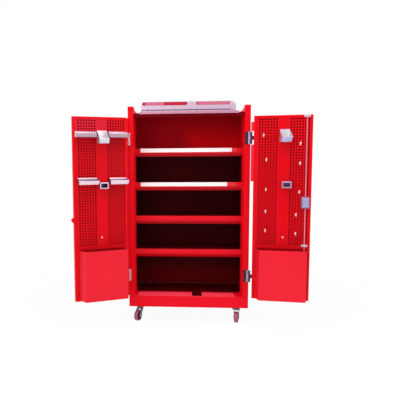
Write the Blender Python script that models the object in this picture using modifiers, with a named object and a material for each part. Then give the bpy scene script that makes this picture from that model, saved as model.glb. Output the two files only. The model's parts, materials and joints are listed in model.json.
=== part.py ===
# Tool cabinet of folded sheet steel on four casters, with shelves and two pegboard doors that stand open.
# Metres, +Z up. The front plane of the cabinet is y = 0, its middle is x = 0 and the floor is z = 0,
# until the last section moves the whole assembly over the middle of the floor that it covers.
import math

import bmesh
import bpy
from mathutils import Matrix, Vector

# Driving dimensions: carcass
CABINET_WIDTH = 1.000
CABINET_DEPTH = 0.500
CASTER_HEIGHT = 0.135
PLINTH_HEIGHT = 0.093
DOOR_HEIGHT = 1.4825
HEADER_HEIGHT = 0.036
ROOF_RECESS = 0.0335
SHEET = 0.0015
SEAT_GAP = 0.0003
BEND_RADIUS = 0.003
BEND_STEPS = 2
POST_WIDTH = 0.047
POST_RETURN = 0.022
REAR_FLANGE = 0.030
BASE_FLANGE = 0.100
SILL_DEPTH = 0.120
FLOOR_DROP = 0.015
FLOOR_MARGIN = 0.003
CORNER_CAP_RISE = 0.020
CORNER_CAP_DEPTH = 0.110
CORNER_CAP_ROUND = 0.012

# Driving dimensions: shelves
SHELF_COUNT = 4
FIRST_SHELF_ABOVE_SILL = 0.377
SHELF_PITCH = 0.291
SHELF_SETBACK = 0.170
SHELF_LIP = 0.036
SHELF_RETURN_DROP = 0.035
SHELF_RETURN_BACK = 0.022
SHELF_TAB_DROP = 0.022
SHELF_TAB_INSET = 0.030
LABEL_HEIGHT = 0.033
LABEL_MARGIN = 0.045
LABEL_STRIPS = ("label_strip_upper", "label_strip_lower")
LABEL_THICK = 0.001

# Driving dimensions: roof fittings
TRIM_HEIGHT = 0.020
TRIM_END_GAP = 0.0498
TRIM_LEG = 0.050
HEADER_FRONT = 0.012
HEADER_DEPTH = 0.050
GALLERY_HEIGHT = 0.142
GALLERY_END_GAP = 0.0248
GALLERY_ROUND = 0.050
GALLERY_SETBACK = 0.040
GALLERY_SLOT_LENGTH = 0.030
GALLERY_SLOT_HEIGHT = 0.006
GALLERY_SLOT_PITCH = 0.050
GALLERY_SLOT_LEVEL = 0.066
GALLERY_FOOT = 0.025

# Driving dimensions: doors
DOOR_THICK = 0.035
DOOR_SILL_GAP = 0.011
DOOR_HEADER_GAP = 0.004
DOOR_SIDE_GAP = 0.0025
DOOR_MEETING_GAP = 0.004
DOOR_RETURN = 0.018
LEFT_OPEN_DEG = 154.5
RIGHT_OPEN_DEG = 172.2
PIN_FROM_SIDE = 0.013
PIN_PROUD = 0.010

# Driving dimensions: pegboards. The punched pattern has a hole every HOLE_PITCH; every PEG_SKIP-th one is modelled.
HOLE_PITCH = 0.022
PEG_SKIP = 3
PEG_COLUMNS = 3
PEG_ROWS = 16
HOLE_SIZE = 0.011
ZONE_FROM_HINGE_EDGE = 0.027
ZONE_FROM_FREE_EDGE = 0.0485
TOP_ROW_BELOW_DOOR_TOP = 0.030

# Driving dimensions: hinges
HINGE_HEIGHT = 0.100
HINGE_ABOVE_DOOR_BOTTOM = 0.125
HINGE_BELOW_DOOR_TOP = 0.1215
KNUCKLE_RADIUS = 0.008
PIN_RADIUS = 0.004
PIN_FIT = 0.0003
KNUCKLE_GAP = 0.0005
LEAF_THICK = 0.0023
POST_ARM_THICK = 0.0050
LEAF_FROM_POST_EDGE = 0.0015
DOOR_PAD_LENGTH = 0.045
DOOR_ARM_THICK = 0.0025
DOOR_ARM_LIFT = 0.0040

# Driving dimensions: door bins, as margins from the hinge edge and the free edge, at the panel and at the front
BIN_BOTTOM_ABOVE_DOOR = 0.007
BIN_HEIGHT = 0.411
BIN_DEPTH = 0.083
LEFT_BIN_BACK_MARGINS = (0.024, 0.0355)
LEFT_BIN_FRONT_MARGINS = (0.024, 0.0685)
RIGHT_BIN_BACK_MARGINS = (0.026, 0.0205)
RIGHT_BIN_FRONT_MARGINS = (0.055, 0.0305)

# Driving dimensions: zinc holders on the doors, with levels below the door's top and places from its middle
TRAY_DEPTH = 0.065
TRAY_FLARE = 0.012
TRAY_FRONT = 0.042
TRAY_BACK = 0.060
UPPER_TRAY_DROP = 0.1635
LOWER_TRAY_DROP = 0.5345
TRAY_MARGIN = 0.0105
TRAY_TO_HOLDER = 0.0025
LEFT_SLANT_OFFSET = -0.01075
RIGHT_SLANT_OFFSET = 0.02825
LEFT_SQUARE_OFFSET = -0.01775
RIGHT_SQUARE_OFFSET = 0.03325
SLANT_WIDTH = 0.098
SLANT_HEIGHT = 0.102
SLANT_FRONT = 0.036
SLANT_DROP = 0.2105
SLANT_FOOT = 0.076
SLANT_MOUTH = 0.088
SQUARE_WIDTH = 0.072
SQUARE_HEIGHT = 0.052
SQUARE_DEPTH = 0.044
SQUARE_FRAME = 0.014
SQUARE_DROP = 0.5715
HOLDER_SHEET = 0.0012
HOLDER_BEND = 0.002

# Driving dimensions: catch tongue of the left door
TONGUE_ABOVE_DOOR_BOTTOM = 0.666
TONGUE_HEIGHT = 0.044
TONGUE_REACH = 0.024
TONGUE_SEAT = 0.015
TONGUE_THICK = 0.004

# Driving dimensions: rod lock of the right door
ROD_FROM_FREE_EDGE = 0.0445
ROD_WIDTH = 0.016
ROD_THICK = 0.004
ROD_LIFT = 0.0015
ROD_INSET = 0.003
ROD_STROKE = 0.025
LOCK_ABOVE_DOOR_BOTTOM = 0.794
LOCK_CASE_WIDTH = 0.064
LOCK_CASE_HEIGHT = 0.092
LOCK_CASE_DEPTH = 0.026
LOCK_CASE_SHOULDER = 0.010
LOCK_CASE_SHEET = 0.0015
CAM_RADIUS = 0.022
CAM_THICK = 0.004
SPINDLE_RADIUS = 0.005
SPINDLE_FIT = 0.0004
GUIDE_WIDTH = 0.046
GUIDE_HEIGHT = 0.018
GUIDE_BELOW_DOOR_TOP = 0.0105
GUIDE_ABOVE_BIN = 0.033
GUIDE_BEND = 0.0015
GUIDE_CLEAR = 0.0006
ROSE_RADIUS = 0.020
ROSE_THICK = 0.004
LEVER_LENGTH = 0.110
LEVER_WIDTH = 0.020
LEVER_THICK = 0.010
LEVER_STANDOFF = 0.028
LEVER_ROUND = 0.002
ROD_SLOT_LENGTH = 0.083
ROD_SLOT_WIDTH = 0.030
ROD_SLOT_CLEAR = 0.0065
ROD_SLOT_OFFSET = 0.0295

# Driving dimensions: casters
CASTER_INSET_X = 0.085
CASTER_INSET_Y = 0.075
CASTER_PLATE = 0.080
CASTER_PLATE_THICK = 0.004
WHEEL_RADIUS = 0.047
WHEEL_WIDTH = 0.032
WHEEL_CROWN = 0.004
HUB_RADIUS = 0.017
HUB_WIDTH = 0.036
WEB_WIDTH = 0.012
RIM_RADIUS = 0.034
AXLE_RADIUS = 0.005
AXLE_FIT = 0.0003
AXLE_HEAD = 0.004
AXLE_HEAD_RADIUS = 0.008
FORK_SHEET = 0.003
FORK_BEND = 0.006
FORK_CLEAR = 0.009
FORK_LEG_WIDTH = 0.030
FORK_CROWN_LENGTH = 0.050
FORK_TOE = 0.014
CASTER_TRAIL = 0.034
RACEWAY_RADIUS = 0.027
RACEWAY_HEIGHT = 0.014
RACEWAY_NECK = 0.020
SWIVEL_GAP = 0.0005
CASTER_HEADINGS = {"front_left": 155.0, "front_right": 168.0, "rear_left": 150.0, "rear_right": 215.0}

# Levels and places that follow from the driving dimensions
HALF_WIDTH = CABINET_WIDTH / 2
SILL_TOP = CASTER_HEIGHT + PLINTH_HEIGHT
PLATE_BOTTOM = CASTER_HEIGHT - CASTER_PLATE_THICK
WALL_BOTTOM = SILL_TOP + SEAT_GAP
DOOR_BOTTOM = SILL_TOP + DOOR_SILL_GAP
DOOR_TOP = DOOR_BOTTOM + DOOR_HEIGHT
HEADER_BOTTOM = DOOR_TOP + DOOR_HEADER_GAP
ROOF_DECK = HEADER_BOTTOM + HEADER_HEIGHT + SEAT_GAP
WALL_TOP = ROOF_DECK + ROOF_RECESS
POST_EDGE = HALF_WIDTH - POST_WIDTH
LINER_FACE = POST_EDGE + SHEET + SEAT_GAP
BACK_FACE = CABINET_DEPTH - SHEET - SEAT_GAP
HINGE_EDGE = POST_EDGE - DOOR_SIDE_GAP
DOOR_WIDTH = HINGE_EDGE - DOOR_MEETING_GAP / 2
DOOR_MIDDLE = DOOR_WIDTH / 2
PIN_X = HALF_WIDTH - PIN_FROM_SIDE
EDGE_FROM_PIN = PIN_X - HINGE_EDGE
PANEL_FACE = DOOR_THICK - SHEET - SEAT_GAP
PANEL_THICK = SHEET
ON_PANEL = PANEL_FACE + SEAT_GAP
ON_FLANGE = DOOR_THICK + SEAT_GAP
ROD_BACK = DOOR_THICK + ROD_LIFT
ROD_FRONT = ROD_BACK + ROD_THICK
ROOF_FRONT = POST_RETURN + 2 * SEAT_GAP
TRIM_LENGTH = 2 * (LINER_FACE - TRIM_END_GAP)
GALLERY_LENGTH = 2 * (LINER_FACE - GALLERY_END_GAP)
HINGE_LEVELS = {
    "lower": DOOR_BOTTOM + HINGE_ABOVE_DOOR_BOTTOM,
    "upper": DOOR_TOP - HINGE_BELOW_DOOR_TOP - HINGE_HEIGHT,
}
BIN_TOP = DOOR_BOTTOM + BIN_BOTTOM_ABOVE_DOOR + BIN_HEIGHT
UPPER_TRAY_LEVEL = DOOR_TOP - UPPER_TRAY_DROP
LOWER_TRAY_LEVEL = DOOR_TOP - LOWER_TRAY_DROP
SLANT_LEVEL = DOOR_TOP - SLANT_DROP
SQUARE_LEVEL = DOOR_TOP - SQUARE_DROP
TONGUE_LEVEL = DOOR_BOTTOM + TONGUE_ABOVE_DOOR_BOTTOM
LOCK_LEVEL = DOOR_BOTTOM + LOCK_ABOVE_DOOR_BOTTOM
GUIDE_LEVELS = {"upper": DOOR_TOP - GUIDE_BELOW_DOOR_TOP, "lower": BIN_TOP + GUIDE_ABOVE_BIN}
ROD_FROM_HINGE = DOOR_WIDTH - ROD_FROM_FREE_EDGE
ROD_SLOT_X = DOOR_MEETING_GAP / 2 + ROD_FROM_FREE_EDGE + ROD_SLOT_OFFSET
ROUND_STEPS = 20
KNUCKLE_STEPS = 12
RACEWAY_STEPS = 12
AXLE_HEIGHT = WHEEL_RADIUS * math.cos(math.pi / ROUND_STEPS)

for thing in list(bpy.data.objects):
    bpy.data.objects.remove(thing, do_unlink=True)
PARTS = bpy.data.collections.new("tool_cabinet")
CUTTERS = bpy.data.collections.new("cutters")
bpy.context.scene.collection.children.link(PARTS)
bpy.context.scene.collection.children.link(CUTTERS)


# Materials
def finish(name, colour, roughness, metallic):
    made = bpy.data.materials.new(name)
    made.use_nodes = True
    shader = made.node_tree.nodes["Principled BSDF"]
    shader.inputs["Base Color"].default_value = (*colour, 1.0)
    shader.inputs["Roughness"].default_value = roughness
    shader.inputs["Metallic"].default_value = metallic
    return made


RED_PAINT = finish("red_paint", (0.72, 0.010, 0.018), 0.25, 0.0)
ZINC = finish("zinc", (0.78, 0.79, 0.81), 0.35, 1.0)
LOCK_STEEL = finish("lock_steel", (0.52, 0.56, 0.62), 0.40, 0.9)
WHITE_CARD = finish("white_card", (0.90, 0.90, 0.90), 0.50, 0.0)
FORK_STEEL = finish("fork_steel", (0.16, 0.13, 0.14), 0.45, 0.9)
WHEEL_MAROON = finish("wheel_maroon", (0.36, 0.09, 0.14), 0.45, 0.0)


# Empties that carry the moving assemblies
def pivot(name, place, turn_deg=0.0, parent=None):
    made = bpy.data.objects.new(name, None)
    made.location = place
    made.rotation_euler = (0.0, 0.0, math.radians(turn_deg))
    made.parent = parent
    PARTS.objects.link(made)
    return made


CABINET = pivot("cabinet_frame", (0.0, 0.0, 0.0))
LEFT_DOOR = pivot("left_door_pivot", (-PIN_X, -PIN_PROUD, 0.0), -LEFT_OPEN_DEG, CABINET)
RIGHT_DOOR = pivot("right_door_pivot", (PIN_X, -PIN_PROUD, 0.0), RIGHT_OPEN_DEG, CABINET)


# Shapes
def box(bm, low, high):
    low = Vector(low)
    high = Vector(high)
    size = high - low
    place = Matrix.Translation((low + high) / 2) @ Matrix.Diagonal((*size, 1.0))
    return bmesh.ops.create_cube(bm, size=1.0, matrix=place)["verts"]


def along(axis, length):
    step = Vector((0.0, 0.0, 0.0))
    step["XYZ".index(axis)] = length
    return step


def strip(bm, points, axis, length):
    """Open surface swept from a chain of points along one axis, to be given its sheet thickness later."""
    chain = [bm.verts.new(point) for point in points]
    edges = [bm.edges.new(pair) for pair in zip(chain, chain[1:])]
    swept = bmesh.ops.extrude_edge_only(bm, edges=edges)["geom"]
    moved = [item for item in swept if isinstance(item, bmesh.types.BMVert)]
    bmesh.ops.translate(bm, verts=moved, vec=along(axis, length))
    return chain, moved


def prism(bm, points, axis, length):
    """Solid swept from a closed outline along one axis."""
    outline = bm.faces.new([bm.verts.new(point) for point in points])
    swept = bmesh.ops.extrude_face_region(bm, geom=[outline])["geom"]
    moved = [item for item in swept if isinstance(item, bmesh.types.BMVert)]
    bmesh.ops.translate(bm, verts=moved, vec=along(axis, length))
    bmesh.ops.recalc_face_normals(bm, faces=bm.faces[:])


def cylinder(bm, radius, start, end, steps=ROUND_STEPS):
    start = Vector(start)
    end = Vector(end)
    turn = Vector((0.0, 0.0, 1.0)).rotation_difference(end - start).to_matrix().to_4x4()
    bmesh.ops.create_cone(
        bm,
        cap_ends=True,
        segments=steps,
        radius1=radius,
        radius2=radius,
        depth=(end - start).length,
        matrix=Matrix.Translation((start + end) / 2) @ turn,
    )


def drop_face(bm, axis, level):
    """Opens a shell by removing the faces that lie across an axis at one level."""
    index = "XYZ".index(axis)
    lost = [face for face in bm.faces if abs(face.calc_center_median()[index] - level) < 1e-5]
    bmesh.ops.delete(bm, geom=[face for face in lost if abs(face.normal[index]) > 0.9], context="FACES")


def rounded_corner(centre, radius, first_deg, last_deg, steps=4):
    """Arc of points in a plane, from one angle to another."""
    angles = [math.radians(first_deg + (last_deg - first_deg) * i / steps) for i in range(steps + 1)]
    return [(centre[0] + radius * math.cos(a), centre[1] + radius * math.sin(a)) for a in angles]


def round_edges(made, radius, steps=BEND_STEPS):
    """Rounds the folds of a sheet, or the edges of a solid."""
    bend = made.modifiers.new("bend", "BEVEL")
    bend.width = radius
    bend.segments = steps
    bend.limit_method = "ANGLE"
    bend.angle_limit = math.radians(20)


def piece(name, bm, material, parent, mirrored=False, sheet=None, bend=None, group=PARTS):
    """Turns a mesh being built into a named object on its carrier, with its folds rounded if it is a sheet."""
    if mirrored:
        bmesh.ops.scale(bm, vec=(-1.0, 1.0, 1.0), verts=bm.verts[:])
        bmesh.ops.reverse_faces(bm, faces=bm.faces[:])
    bm.normal_update()
    mesh = bpy.data.meshes.new(name)
    bm.to_mesh(mesh)
    bm.free()
    mesh.materials.append(material)
    made = bpy.data.objects.new(name, mesh)
    made.parent = parent
    group.objects.link(made)
    if bend:
        round_edges(made, bend)
    if sheet:
        solid = made.modifiers.new("sheet", "SOLIDIFY")
        solid.thickness = sheet
        solid.offset = 0.0
        solid.use_even_offset = True
    return made


def smooth(made, angle_deg=35.0):
    made.data.shade_smooth()
    made.data.set_sharp_from_angle(angle=math.radians(angle_deg))
    return made


def join_or_cut(made, other_bm, operation, mirrored=False):
    """Boolean with a hidden tool body that shares the piece's carrier."""
    name = made.name + "_" + operation.lower() + "_" + str(len(made.modifiers))
    tool = piece(name, other_bm, made.data.materials[0], made.parent, mirrored, group=CUTTERS)
    tool.matrix_local = made.matrix_local
    tool.hide_render = True
    tool.display_type = "WIRE"
    change = made.modifiers.new(operation.lower(), "BOOLEAN")
    change.operation = operation
    change.solver = "EXACT"
    change.object = tool
    return made


def turned(name, profile, material, parent, steps=ROUND_STEPS):
    """Body of revolution about its own Z from (radius, height) points that run down its outer side."""
    bm = bmesh.new()
    ring = [bm.verts.new((radius, 0.0, height)) for radius, height in profile]
    for first, second in zip(ring, ring[1:] + ring[:1]):
        bm.edges.new((first, second))
    made = piece(name, bm, material, parent)
    screw = made.modifiers.new("turn", "SCREW")
    screw.steps = steps
    screw.render_steps = steps
    screw.use_merge_vertices = True
    screw.merge_threshold = 0.00005
    screw.use_normal_calculate = True
    screw.use_smooth_shade = True
    return made


def caster_places():
    places = {}
    for corner in CASTER_HEADINGS:
        side = -1.0 if "left" in corner else 1.0
        y = CASTER_INSET_Y if "front" in corner else CABINET_DEPTH - CASTER_INSET_Y
        places[corner] = (side * (HALF_WIDTH - CASTER_INSET_X), y)
    return places


# Base: an inverted pan with a sunk floor behind its sill, a notch there for the lower lock rod, and turned-in
# flanges that carry the plates of the casters, welded on
def build_base():
    bm = bmesh.new()
    inset = SHEET / 2
    low = (-HALF_WIDTH + inset, inset, CASTER_HEIGHT + inset)
    high = (HALF_WIDTH - inset, CABINET_DEPTH - inset, SILL_TOP - inset)
    box(bm, low, high)
    bm.normal_update()
    under = min(bm.faces, key=lambda face: face.calc_center_median().z)
    bmesh.ops.inset_region(bm, faces=[under], thickness=BASE_FLANGE)
    bmesh.ops.delete(bm, geom=[under], context="FACES_ONLY")
    floor = max(bm.faces, key=lambda face: face.calc_center_median().z)
    bmesh.ops.inset_region(bm, faces=[floor], thickness=REAR_FLANGE)
    side = POST_EDGE - FLOOR_MARGIN
    rear = BACK_FACE - SHEET - FLOOR_MARGIN - BEND_RADIUS
    for vert in floor.verts:
        vert.co.x = math.copysign(side, vert.co.x)
        vert.co.y = SILL_DEPTH if vert.co.y < CABINET_DEPTH / 2 else rear
    sunk = bmesh.ops.extrude_face_region(bm, geom=[floor])["geom"]
    bmesh.ops.delete(bm, geom=[floor], context="FACES_ONLY")
    lowered = [item for item in sunk if isinstance(item, bmesh.types.BMVert)]
    bmesh.ops.translate(bm, verts=lowered, vec=(0.0, 0.0, -FLOOR_DROP))
    # Only the outer edges of the pan are bent round, and its floor is pressed sharp
    bent = bm.edges.layers.float.new("bevel_weight_edge")
    for edge in bm.edges:
        middle = (edge.verts[0].co + edge.verts[1].co) / 2
        outer = [min(abs(middle[i] - low[i]), abs(middle[i] - high[i])) < SEAT_GAP for i in range(3)]
        edge[bent] = 1.0 if sum(outer) > 1 else 0.0
    made = piece("base_pan", bm, RED_PAINT, CABINET, sheet=SHEET, bend=BEND_RADIUS)
    made.modifiers["bend"].limit_method = "WEIGHT"
    made.modifiers["sheet"].use_quality_normals = True
    plates = bmesh.new()
    reach = CASTER_PLATE / 2
    for x, y in caster_places().values():
        box(
            plates,
            (x - reach, y - reach, PLATE_BOTTOM),
            (x + reach, y + reach, CASTER_HEIGHT + inset),
        )
    join_or_cut(made, plates, "UNION")
    notch = bmesh.new()
    half = ROD_SLOT_LENGTH / 2
    box(
        notch,
        (ROD_SLOT_X - half, ROD_BACK - ROD_SLOT_CLEAR, SILL_TOP - FLOOR_DROP / 2),
        (ROD_SLOT_X + half, SILL_DEPTH + FLOOR_DROP, SILL_TOP + SHEET),
    )
    join_or_cut(made, notch, "DIFFERENCE")


# Side walls: an outer skin folded round the post and a flat liner behind the post's return
def build_side(name, side):
    bm = bmesh.new()
    inset = SHEET / 2
    edge = POST_EDGE + inset
    outer = HALF_WIDTH - inset
    chain = [
        (edge, POST_RETURN, WALL_BOTTOM),
        (edge, inset, WALL_BOTTOM),
        (outer, inset, WALL_BOTTOM),
        (outer, CABINET_DEPTH - inset, WALL_BOTTOM),
        (HALF_WIDTH - REAR_FLANGE, CABINET_DEPTH - inset, WALL_BOTTOM),
    ]
    strip(bm, chain, "Z", WALL_TOP - WALL_BOTTOM)
    piece(name + "_side_panel", bm, RED_PAINT, CABINET, mirrored=side < 0, sheet=SHEET, bend=BEND_RADIUS)
    bm = bmesh.new()
    front = SHEET + BEND_RADIUS + SEAT_GAP
    back = BACK_FACE - SHEET - SEAT_GAP
    box(bm, (LINER_FACE, front, WALL_BOTTOM), (LINER_FACE + SHEET, back, WALL_TOP - BEND_RADIUS))
    piece(name + "_side_liner", bm, RED_PAINT, CABINET, mirrored=side < 0)


# Rounded caps that close the front corners of the side walls and stand up as ears
def build_corner_caps():
    seat = WALL_TOP + SEAT_GAP
    low = seat + SHEET + SEAT_GAP
    high = low + CORNER_CAP_RISE
    step = ROOF_FRONT - SEAT_GAP
    drop = CORNER_CAP_RISE * 0.8
    arc = rounded_corner((CORNER_CAP_ROUND, high - CORNER_CAP_ROUND), CORNER_CAP_ROUND, 180.0, 90.0)
    tail_steps = 5
    tail = []
    for i in range(1, tail_steps + 1):
        share = i / tail_steps
        reach = CORNER_CAP_ROUND + (CORNER_CAP_DEPTH - CORNER_CAP_ROUND) * share
        tail.append((reach, high - drop * math.sin(share * math.pi / 2) ** 2))
    outline = [(step, seat), (0.0, seat)] + arc + tail + [(CORNER_CAP_DEPTH, low), (step, low)]
    for name, start in (("left", -HALF_WIDTH), ("right", POST_EDGE)):
        bm = bmesh.new()
        prism(bm, [(start, y, z) for y, z in outline], "X", POST_WIDTH)
        piece(name + "_corner_cap", bm, RED_PAINT, CABINET)


def build_back():
    bm = bmesh.new()
    half = HALF_WIDTH - SHEET - BEND_RADIUS - SEAT_GAP
    box(bm, (-half, BACK_FACE - SHEET, WALL_BOTTOM), (half, BACK_FACE, WALL_TOP))
    piece("back_panel", bm, RED_PAINT, CABINET)


# Roof: a recessed tray whose rims lie on the side walls, with a header channel that keeps the upper lock rod
def build_roof():
    bm = bmesh.new()
    inset = SHEET / 2
    deck = ROOF_DECK + inset
    rim = WALL_TOP + SEAT_GAP + inset
    wall = LINER_FACE - SEAT_GAP - inset
    front = ROOF_FRONT
    chain = [
        (-HALF_WIDTH, front, rim),
        (-wall, front, rim),
        (-wall, front, deck),
        (wall, front, deck),
        (wall, front, rim),
        (HALF_WIDTH, front, rim),
    ]
    strip(bm, chain, "Y", BACK_FACE - SHEET - SEAT_GAP - front)
    piece("roof_tray", bm, RED_PAINT, CABINET, sheet=SHEET, bend=BEND_RADIUS)

    bm = bmesh.new()
    low = HEADER_BOTTOM + inset
    high = ROOF_DECK - SEAT_GAP
    half = POST_EDGE - SEAT_GAP
    chain = [
        (-half, HEADER_FRONT + inset, high),
        (-half, HEADER_FRONT + inset, low),
        (-half, HEADER_FRONT + HEADER_DEPTH - inset, low),
        (-half, HEADER_FRONT + HEADER_DEPTH - inset, high),
    ]
    strip(bm, chain, "X", 2 * half)
    made = piece("header_channel", bm, RED_PAINT, CABINET, sheet=SHEET, bend=BEND_RADIUS)
    slot = bmesh.new()
    middle = (ROD_BACK + ROD_FRONT) / 2
    box(
        slot,
        (ROD_SLOT_X - ROD_SLOT_LENGTH / 2, middle - ROD_SLOT_WIDTH / 2, HEADER_BOTTOM - SHEET),
        (ROD_SLOT_X + ROD_SLOT_LENGTH / 2, middle + ROD_SLOT_WIDTH / 2, HEADER_BOTTOM + 5 * SHEET),
    )
    join_or_cut(made, slot, "DIFFERENCE")

    bm = bmesh.new()
    trim_middle = ROOF_DECK + inset
    box(
        bm,
        (-TRIM_LENGTH / 2, SEAT_GAP, trim_middle - TRIM_HEIGHT / 2),
        (TRIM_LENGTH / 2, SEAT_GAP + SHEET, trim_middle + TRIM_HEIGHT / 2),
    )
    made = piece("roof_front_trim", bm, ZINC, CABINET)
    leg = bmesh.new()
    leg_low = ROOF_DECK + SHEET + SEAT_GAP
    box(
        leg,
        (-TRIM_LENGTH / 2 + SHEET, SEAT_GAP + inset, leg_low),
        (TRIM_LENGTH / 2 - SHEET, SEAT_GAP + TRIM_LEG, leg_low + SHEET),
    )
    join_or_cut(made, leg, "UNION")


# Gallery: a slotted zinc sheet that stands at the back of the roof on a folded foot
def build_gallery():
    bm = bmesh.new()
    half = GALLERY_LENGTH / 2
    base = ROOF_DECK + SHEET + SEAT_GAP
    face = CABINET_DEPTH - GALLERY_SETBACK
    top = base + GALLERY_HEIGHT
    corner_z = top - GALLERY_ROUND
    right = rounded_corner((half - GALLERY_ROUND, corner_z), GALLERY_ROUND, 0.0, 90.0)
    left = rounded_corner((-half + GALLERY_ROUND, corner_z), GALLERY_ROUND, 90.0, 180.0)
    outline = [(-half, base), (half, base)] + right + left
    prism(bm, [(x, face, z) for x, z in outline], "Y", SHEET)
    made = piece("gallery_panel", bm, ZINC, CABINET)
    foot = bmesh.new()
    box(foot, (-half, face + SHEET / 2, base), (half, face + GALLERY_FOOT, base + SHEET))
    join_or_cut(made, foot, "UNION")
    slots = bmesh.new()
    count = int((GALLERY_LENGTH - 2 * GALLERY_ROUND) / GALLERY_SLOT_PITCH) + 1
    level = base + GALLERY_SLOT_LEVEL
    for i in range(count):
        centre = (i - (count - 1) / 2) * GALLERY_SLOT_PITCH
        box(
            slots,
            (centre - GALLERY_SLOT_LENGTH / 2, face - SHEET, level - GALLERY_SLOT_HEIGHT / 2),
            (centre + GALLERY_SLOT_LENGTH / 2, face + 2 * SHEET, level + GALLERY_SLOT_HEIGHT / 2),
        )
    join_or_cut(made, slots, "DIFFERENCE")


# Shelves: a deck with a front lip, a sloped return and end tabs that are fixed to the side liners
def shelf_top(index):
    return SILL_TOP + FIRST_SHELF_ABOVE_SILL + index * SHELF_PITCH


def build_shelves():
    half = LINER_FACE - SEAT_GAP
    inset = SHEET / 2
    rear = BACK_FACE - SHEET - SEAT_GAP
    front = SHELF_SETBACK + inset
    for index in range(SHELF_COUNT):
        deck = shelf_top(index) - inset
        bm = bmesh.new()
        chain = [
            (-half, rear, deck),
            (-half, front, deck),
            (-half, front, deck - SHELF_LIP),
            (-half, front + SHELF_RETURN_BACK, deck - SHELF_LIP - SHELF_RETURN_DROP),
        ]
        strip(bm, chain, "X", 2 * half)
        made = piece("shelf_" + str(index + 1), bm, RED_PAINT, CABINET, sheet=SHEET, bend=BEND_RADIUS)
        tabs = bmesh.new()
        for start in (-half, half - SHEET):
            box(
                tabs,
                (start, front + SHELF_TAB_INSET, deck - SHELF_TAB_DROP),
                (start + SHEET, rear - SHELF_TAB_INSET, deck),
            )
        join_or_cut(made, tabs, "UNION")
    for below_top, name in enumerate(LABEL_STRIPS):
        bm = bmesh.new()
        face = SHELF_SETBACK - SEAT_GAP
        middle = shelf_top(SHELF_COUNT - 1 - below_top) - SHELF_LIP / 2
        box(
            bm,
            (-half + LABEL_MARGIN, face - LABEL_THICK, middle - LABEL_HEIGHT / 2),
            (half - LABEL_MARGIN, face, middle + LABEL_HEIGHT / 2),
        )
        piece(name, bm, WHITE_CARD, CABINET)


# Doors are built as the left one, closed, about its hinge pin: u runs from the hinge edge to the free edge
# along +X, v from the outer face inwards along +Y. The right door is the mirror image.
def at_u(u):
    return EDGE_FROM_PIN + u


def at_v(v):
    return PIN_PROUD + v


def door_box(bm, u, v, z):
    return box(bm, (at_u(u[0]), at_v(v[0]), z[0]), (at_u(u[1]), at_v(v[1]), z[1]))


def build_door_shell(name, carrier, mirrored):
    bm = bmesh.new()
    inset = SHEET / 2
    door_box(
        bm,
        (inset, DOOR_WIDTH - inset),
        (inset, DOOR_THICK - inset),
        (DOOR_BOTTOM + inset, DOOR_TOP - inset),
    )
    bm.normal_update()
    inner = max(bm.faces, key=lambda face: face.calc_center_median().y)
    bmesh.ops.inset_region(bm, faces=[inner], thickness=DOOR_RETURN)
    bmesh.ops.delete(bm, geom=[inner], context="FACES_ONLY")
    return piece(name, bm, RED_PAINT, carrier, mirrored, sheet=SHEET, bend=BEND_RADIUS)


def peg_lines(starts, count, low, high):
    """Grid lines across a panel: its two edges and both sides of every hole."""
    step = HOLE_PITCH * PEG_SKIP
    lines = [low]
    for start in starts:
        for i in range(count):
            centre = start + i * step
            lines += [centre - HOLE_SIZE / 2, centre + HOLE_SIZE / 2]
    return lines + [high]


def build_pegboard(name, carrier, mirrored):
    margin = SHEET + BEND_RADIUS + SEAT_GAP
    rows_span = (PEG_ROWS - 1) * HOLE_PITCH * PEG_SKIP
    low_row = DOOR_TOP - TOP_ROW_BELOW_DOOR_TOP - rows_span
    columns_span = (PEG_COLUMNS - 1) * HOLE_PITCH * PEG_SKIP
    zones = (ZONE_FROM_HINGE_EDGE, DOOR_WIDTH - ZONE_FROM_FREE_EDGE - columns_span)
    columns = peg_lines(zones, PEG_COLUMNS, margin, DOOR_WIDTH - margin)
    rows = peg_lines((low_row,), PEG_ROWS, DOOR_BOTTOM + margin, DOOR_TOP - margin)
    bm = bmesh.new()
    across = len(columns) - 1
    up = len(rows) - 1
    grid = bmesh.ops.create_grid(bm, x_segments=across, y_segments=up, size=0.5)["verts"]
    face_v = PANEL_FACE - PANEL_THICK / 2
    for vert in grid:
        column = columns[round((vert.co.x + 0.5) * across)]
        row = rows[round((vert.co.y + 0.5) * up)]
        vert.co = (at_u(column), at_v(face_v), row)
    holes = []
    for face in bm.faces:
        centre = face.calc_center_median()
        u = centre.x - EDGE_FROM_PIN
        in_column = any(abs(u - (a + b) / 2) < 1e-5 for a, b in zip(columns[1::2], columns[2::2]))
        in_row = any(abs(centre.z - (a + b) / 2) < 1e-5 for a, b in zip(rows[1::2], rows[2::2]))
        if in_column and in_row:
            holes.append(face)
    bmesh.ops.delete(bm, geom=holes, context="FACES")
    return piece(name, bm, RED_PAINT, carrier, mirrored, sheet=PANEL_THICK)


def build_bin(name, carrier, mirrored, back_margins, front_margins):
    """Sheet pocket, open at the top and against the panel, with a front narrower than its back."""
    bm = bmesh.new()
    inset = SHEET / 2
    back = (back_margins[0], DOOR_WIDTH - back_margins[1])
    front = (front_margins[0], DOOR_WIDTH - front_margins[1])
    low = DOOR_BOTTOM + BIN_BOTTOM_ABOVE_DOOR + inset
    high = BIN_TOP
    near = DOOR_THICK + BIN_DEPTH - inset
    seat = ON_FLANGE + SEAT_GAP
    verts = door_box(bm, (back[0] + inset, back[1] - inset), (seat, near), (low, high))
    for vert in verts:
        if vert.co.y > at_v((seat + near) / 2):
            hinge_side = vert.co.x < at_u((back[0] + back[1]) / 2)
            vert.co.x = at_u(front[0] + inset) if hinge_side else at_u(front[1] - inset)
    bm.normal_update()
    drop_face(bm, "Z", high)
    drop_face(bm, "Y", at_v(seat))
    return piece(name, bm, RED_PAINT, carrier, mirrored, sheet=SHEET, bend=BEND_RADIUS)


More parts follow.
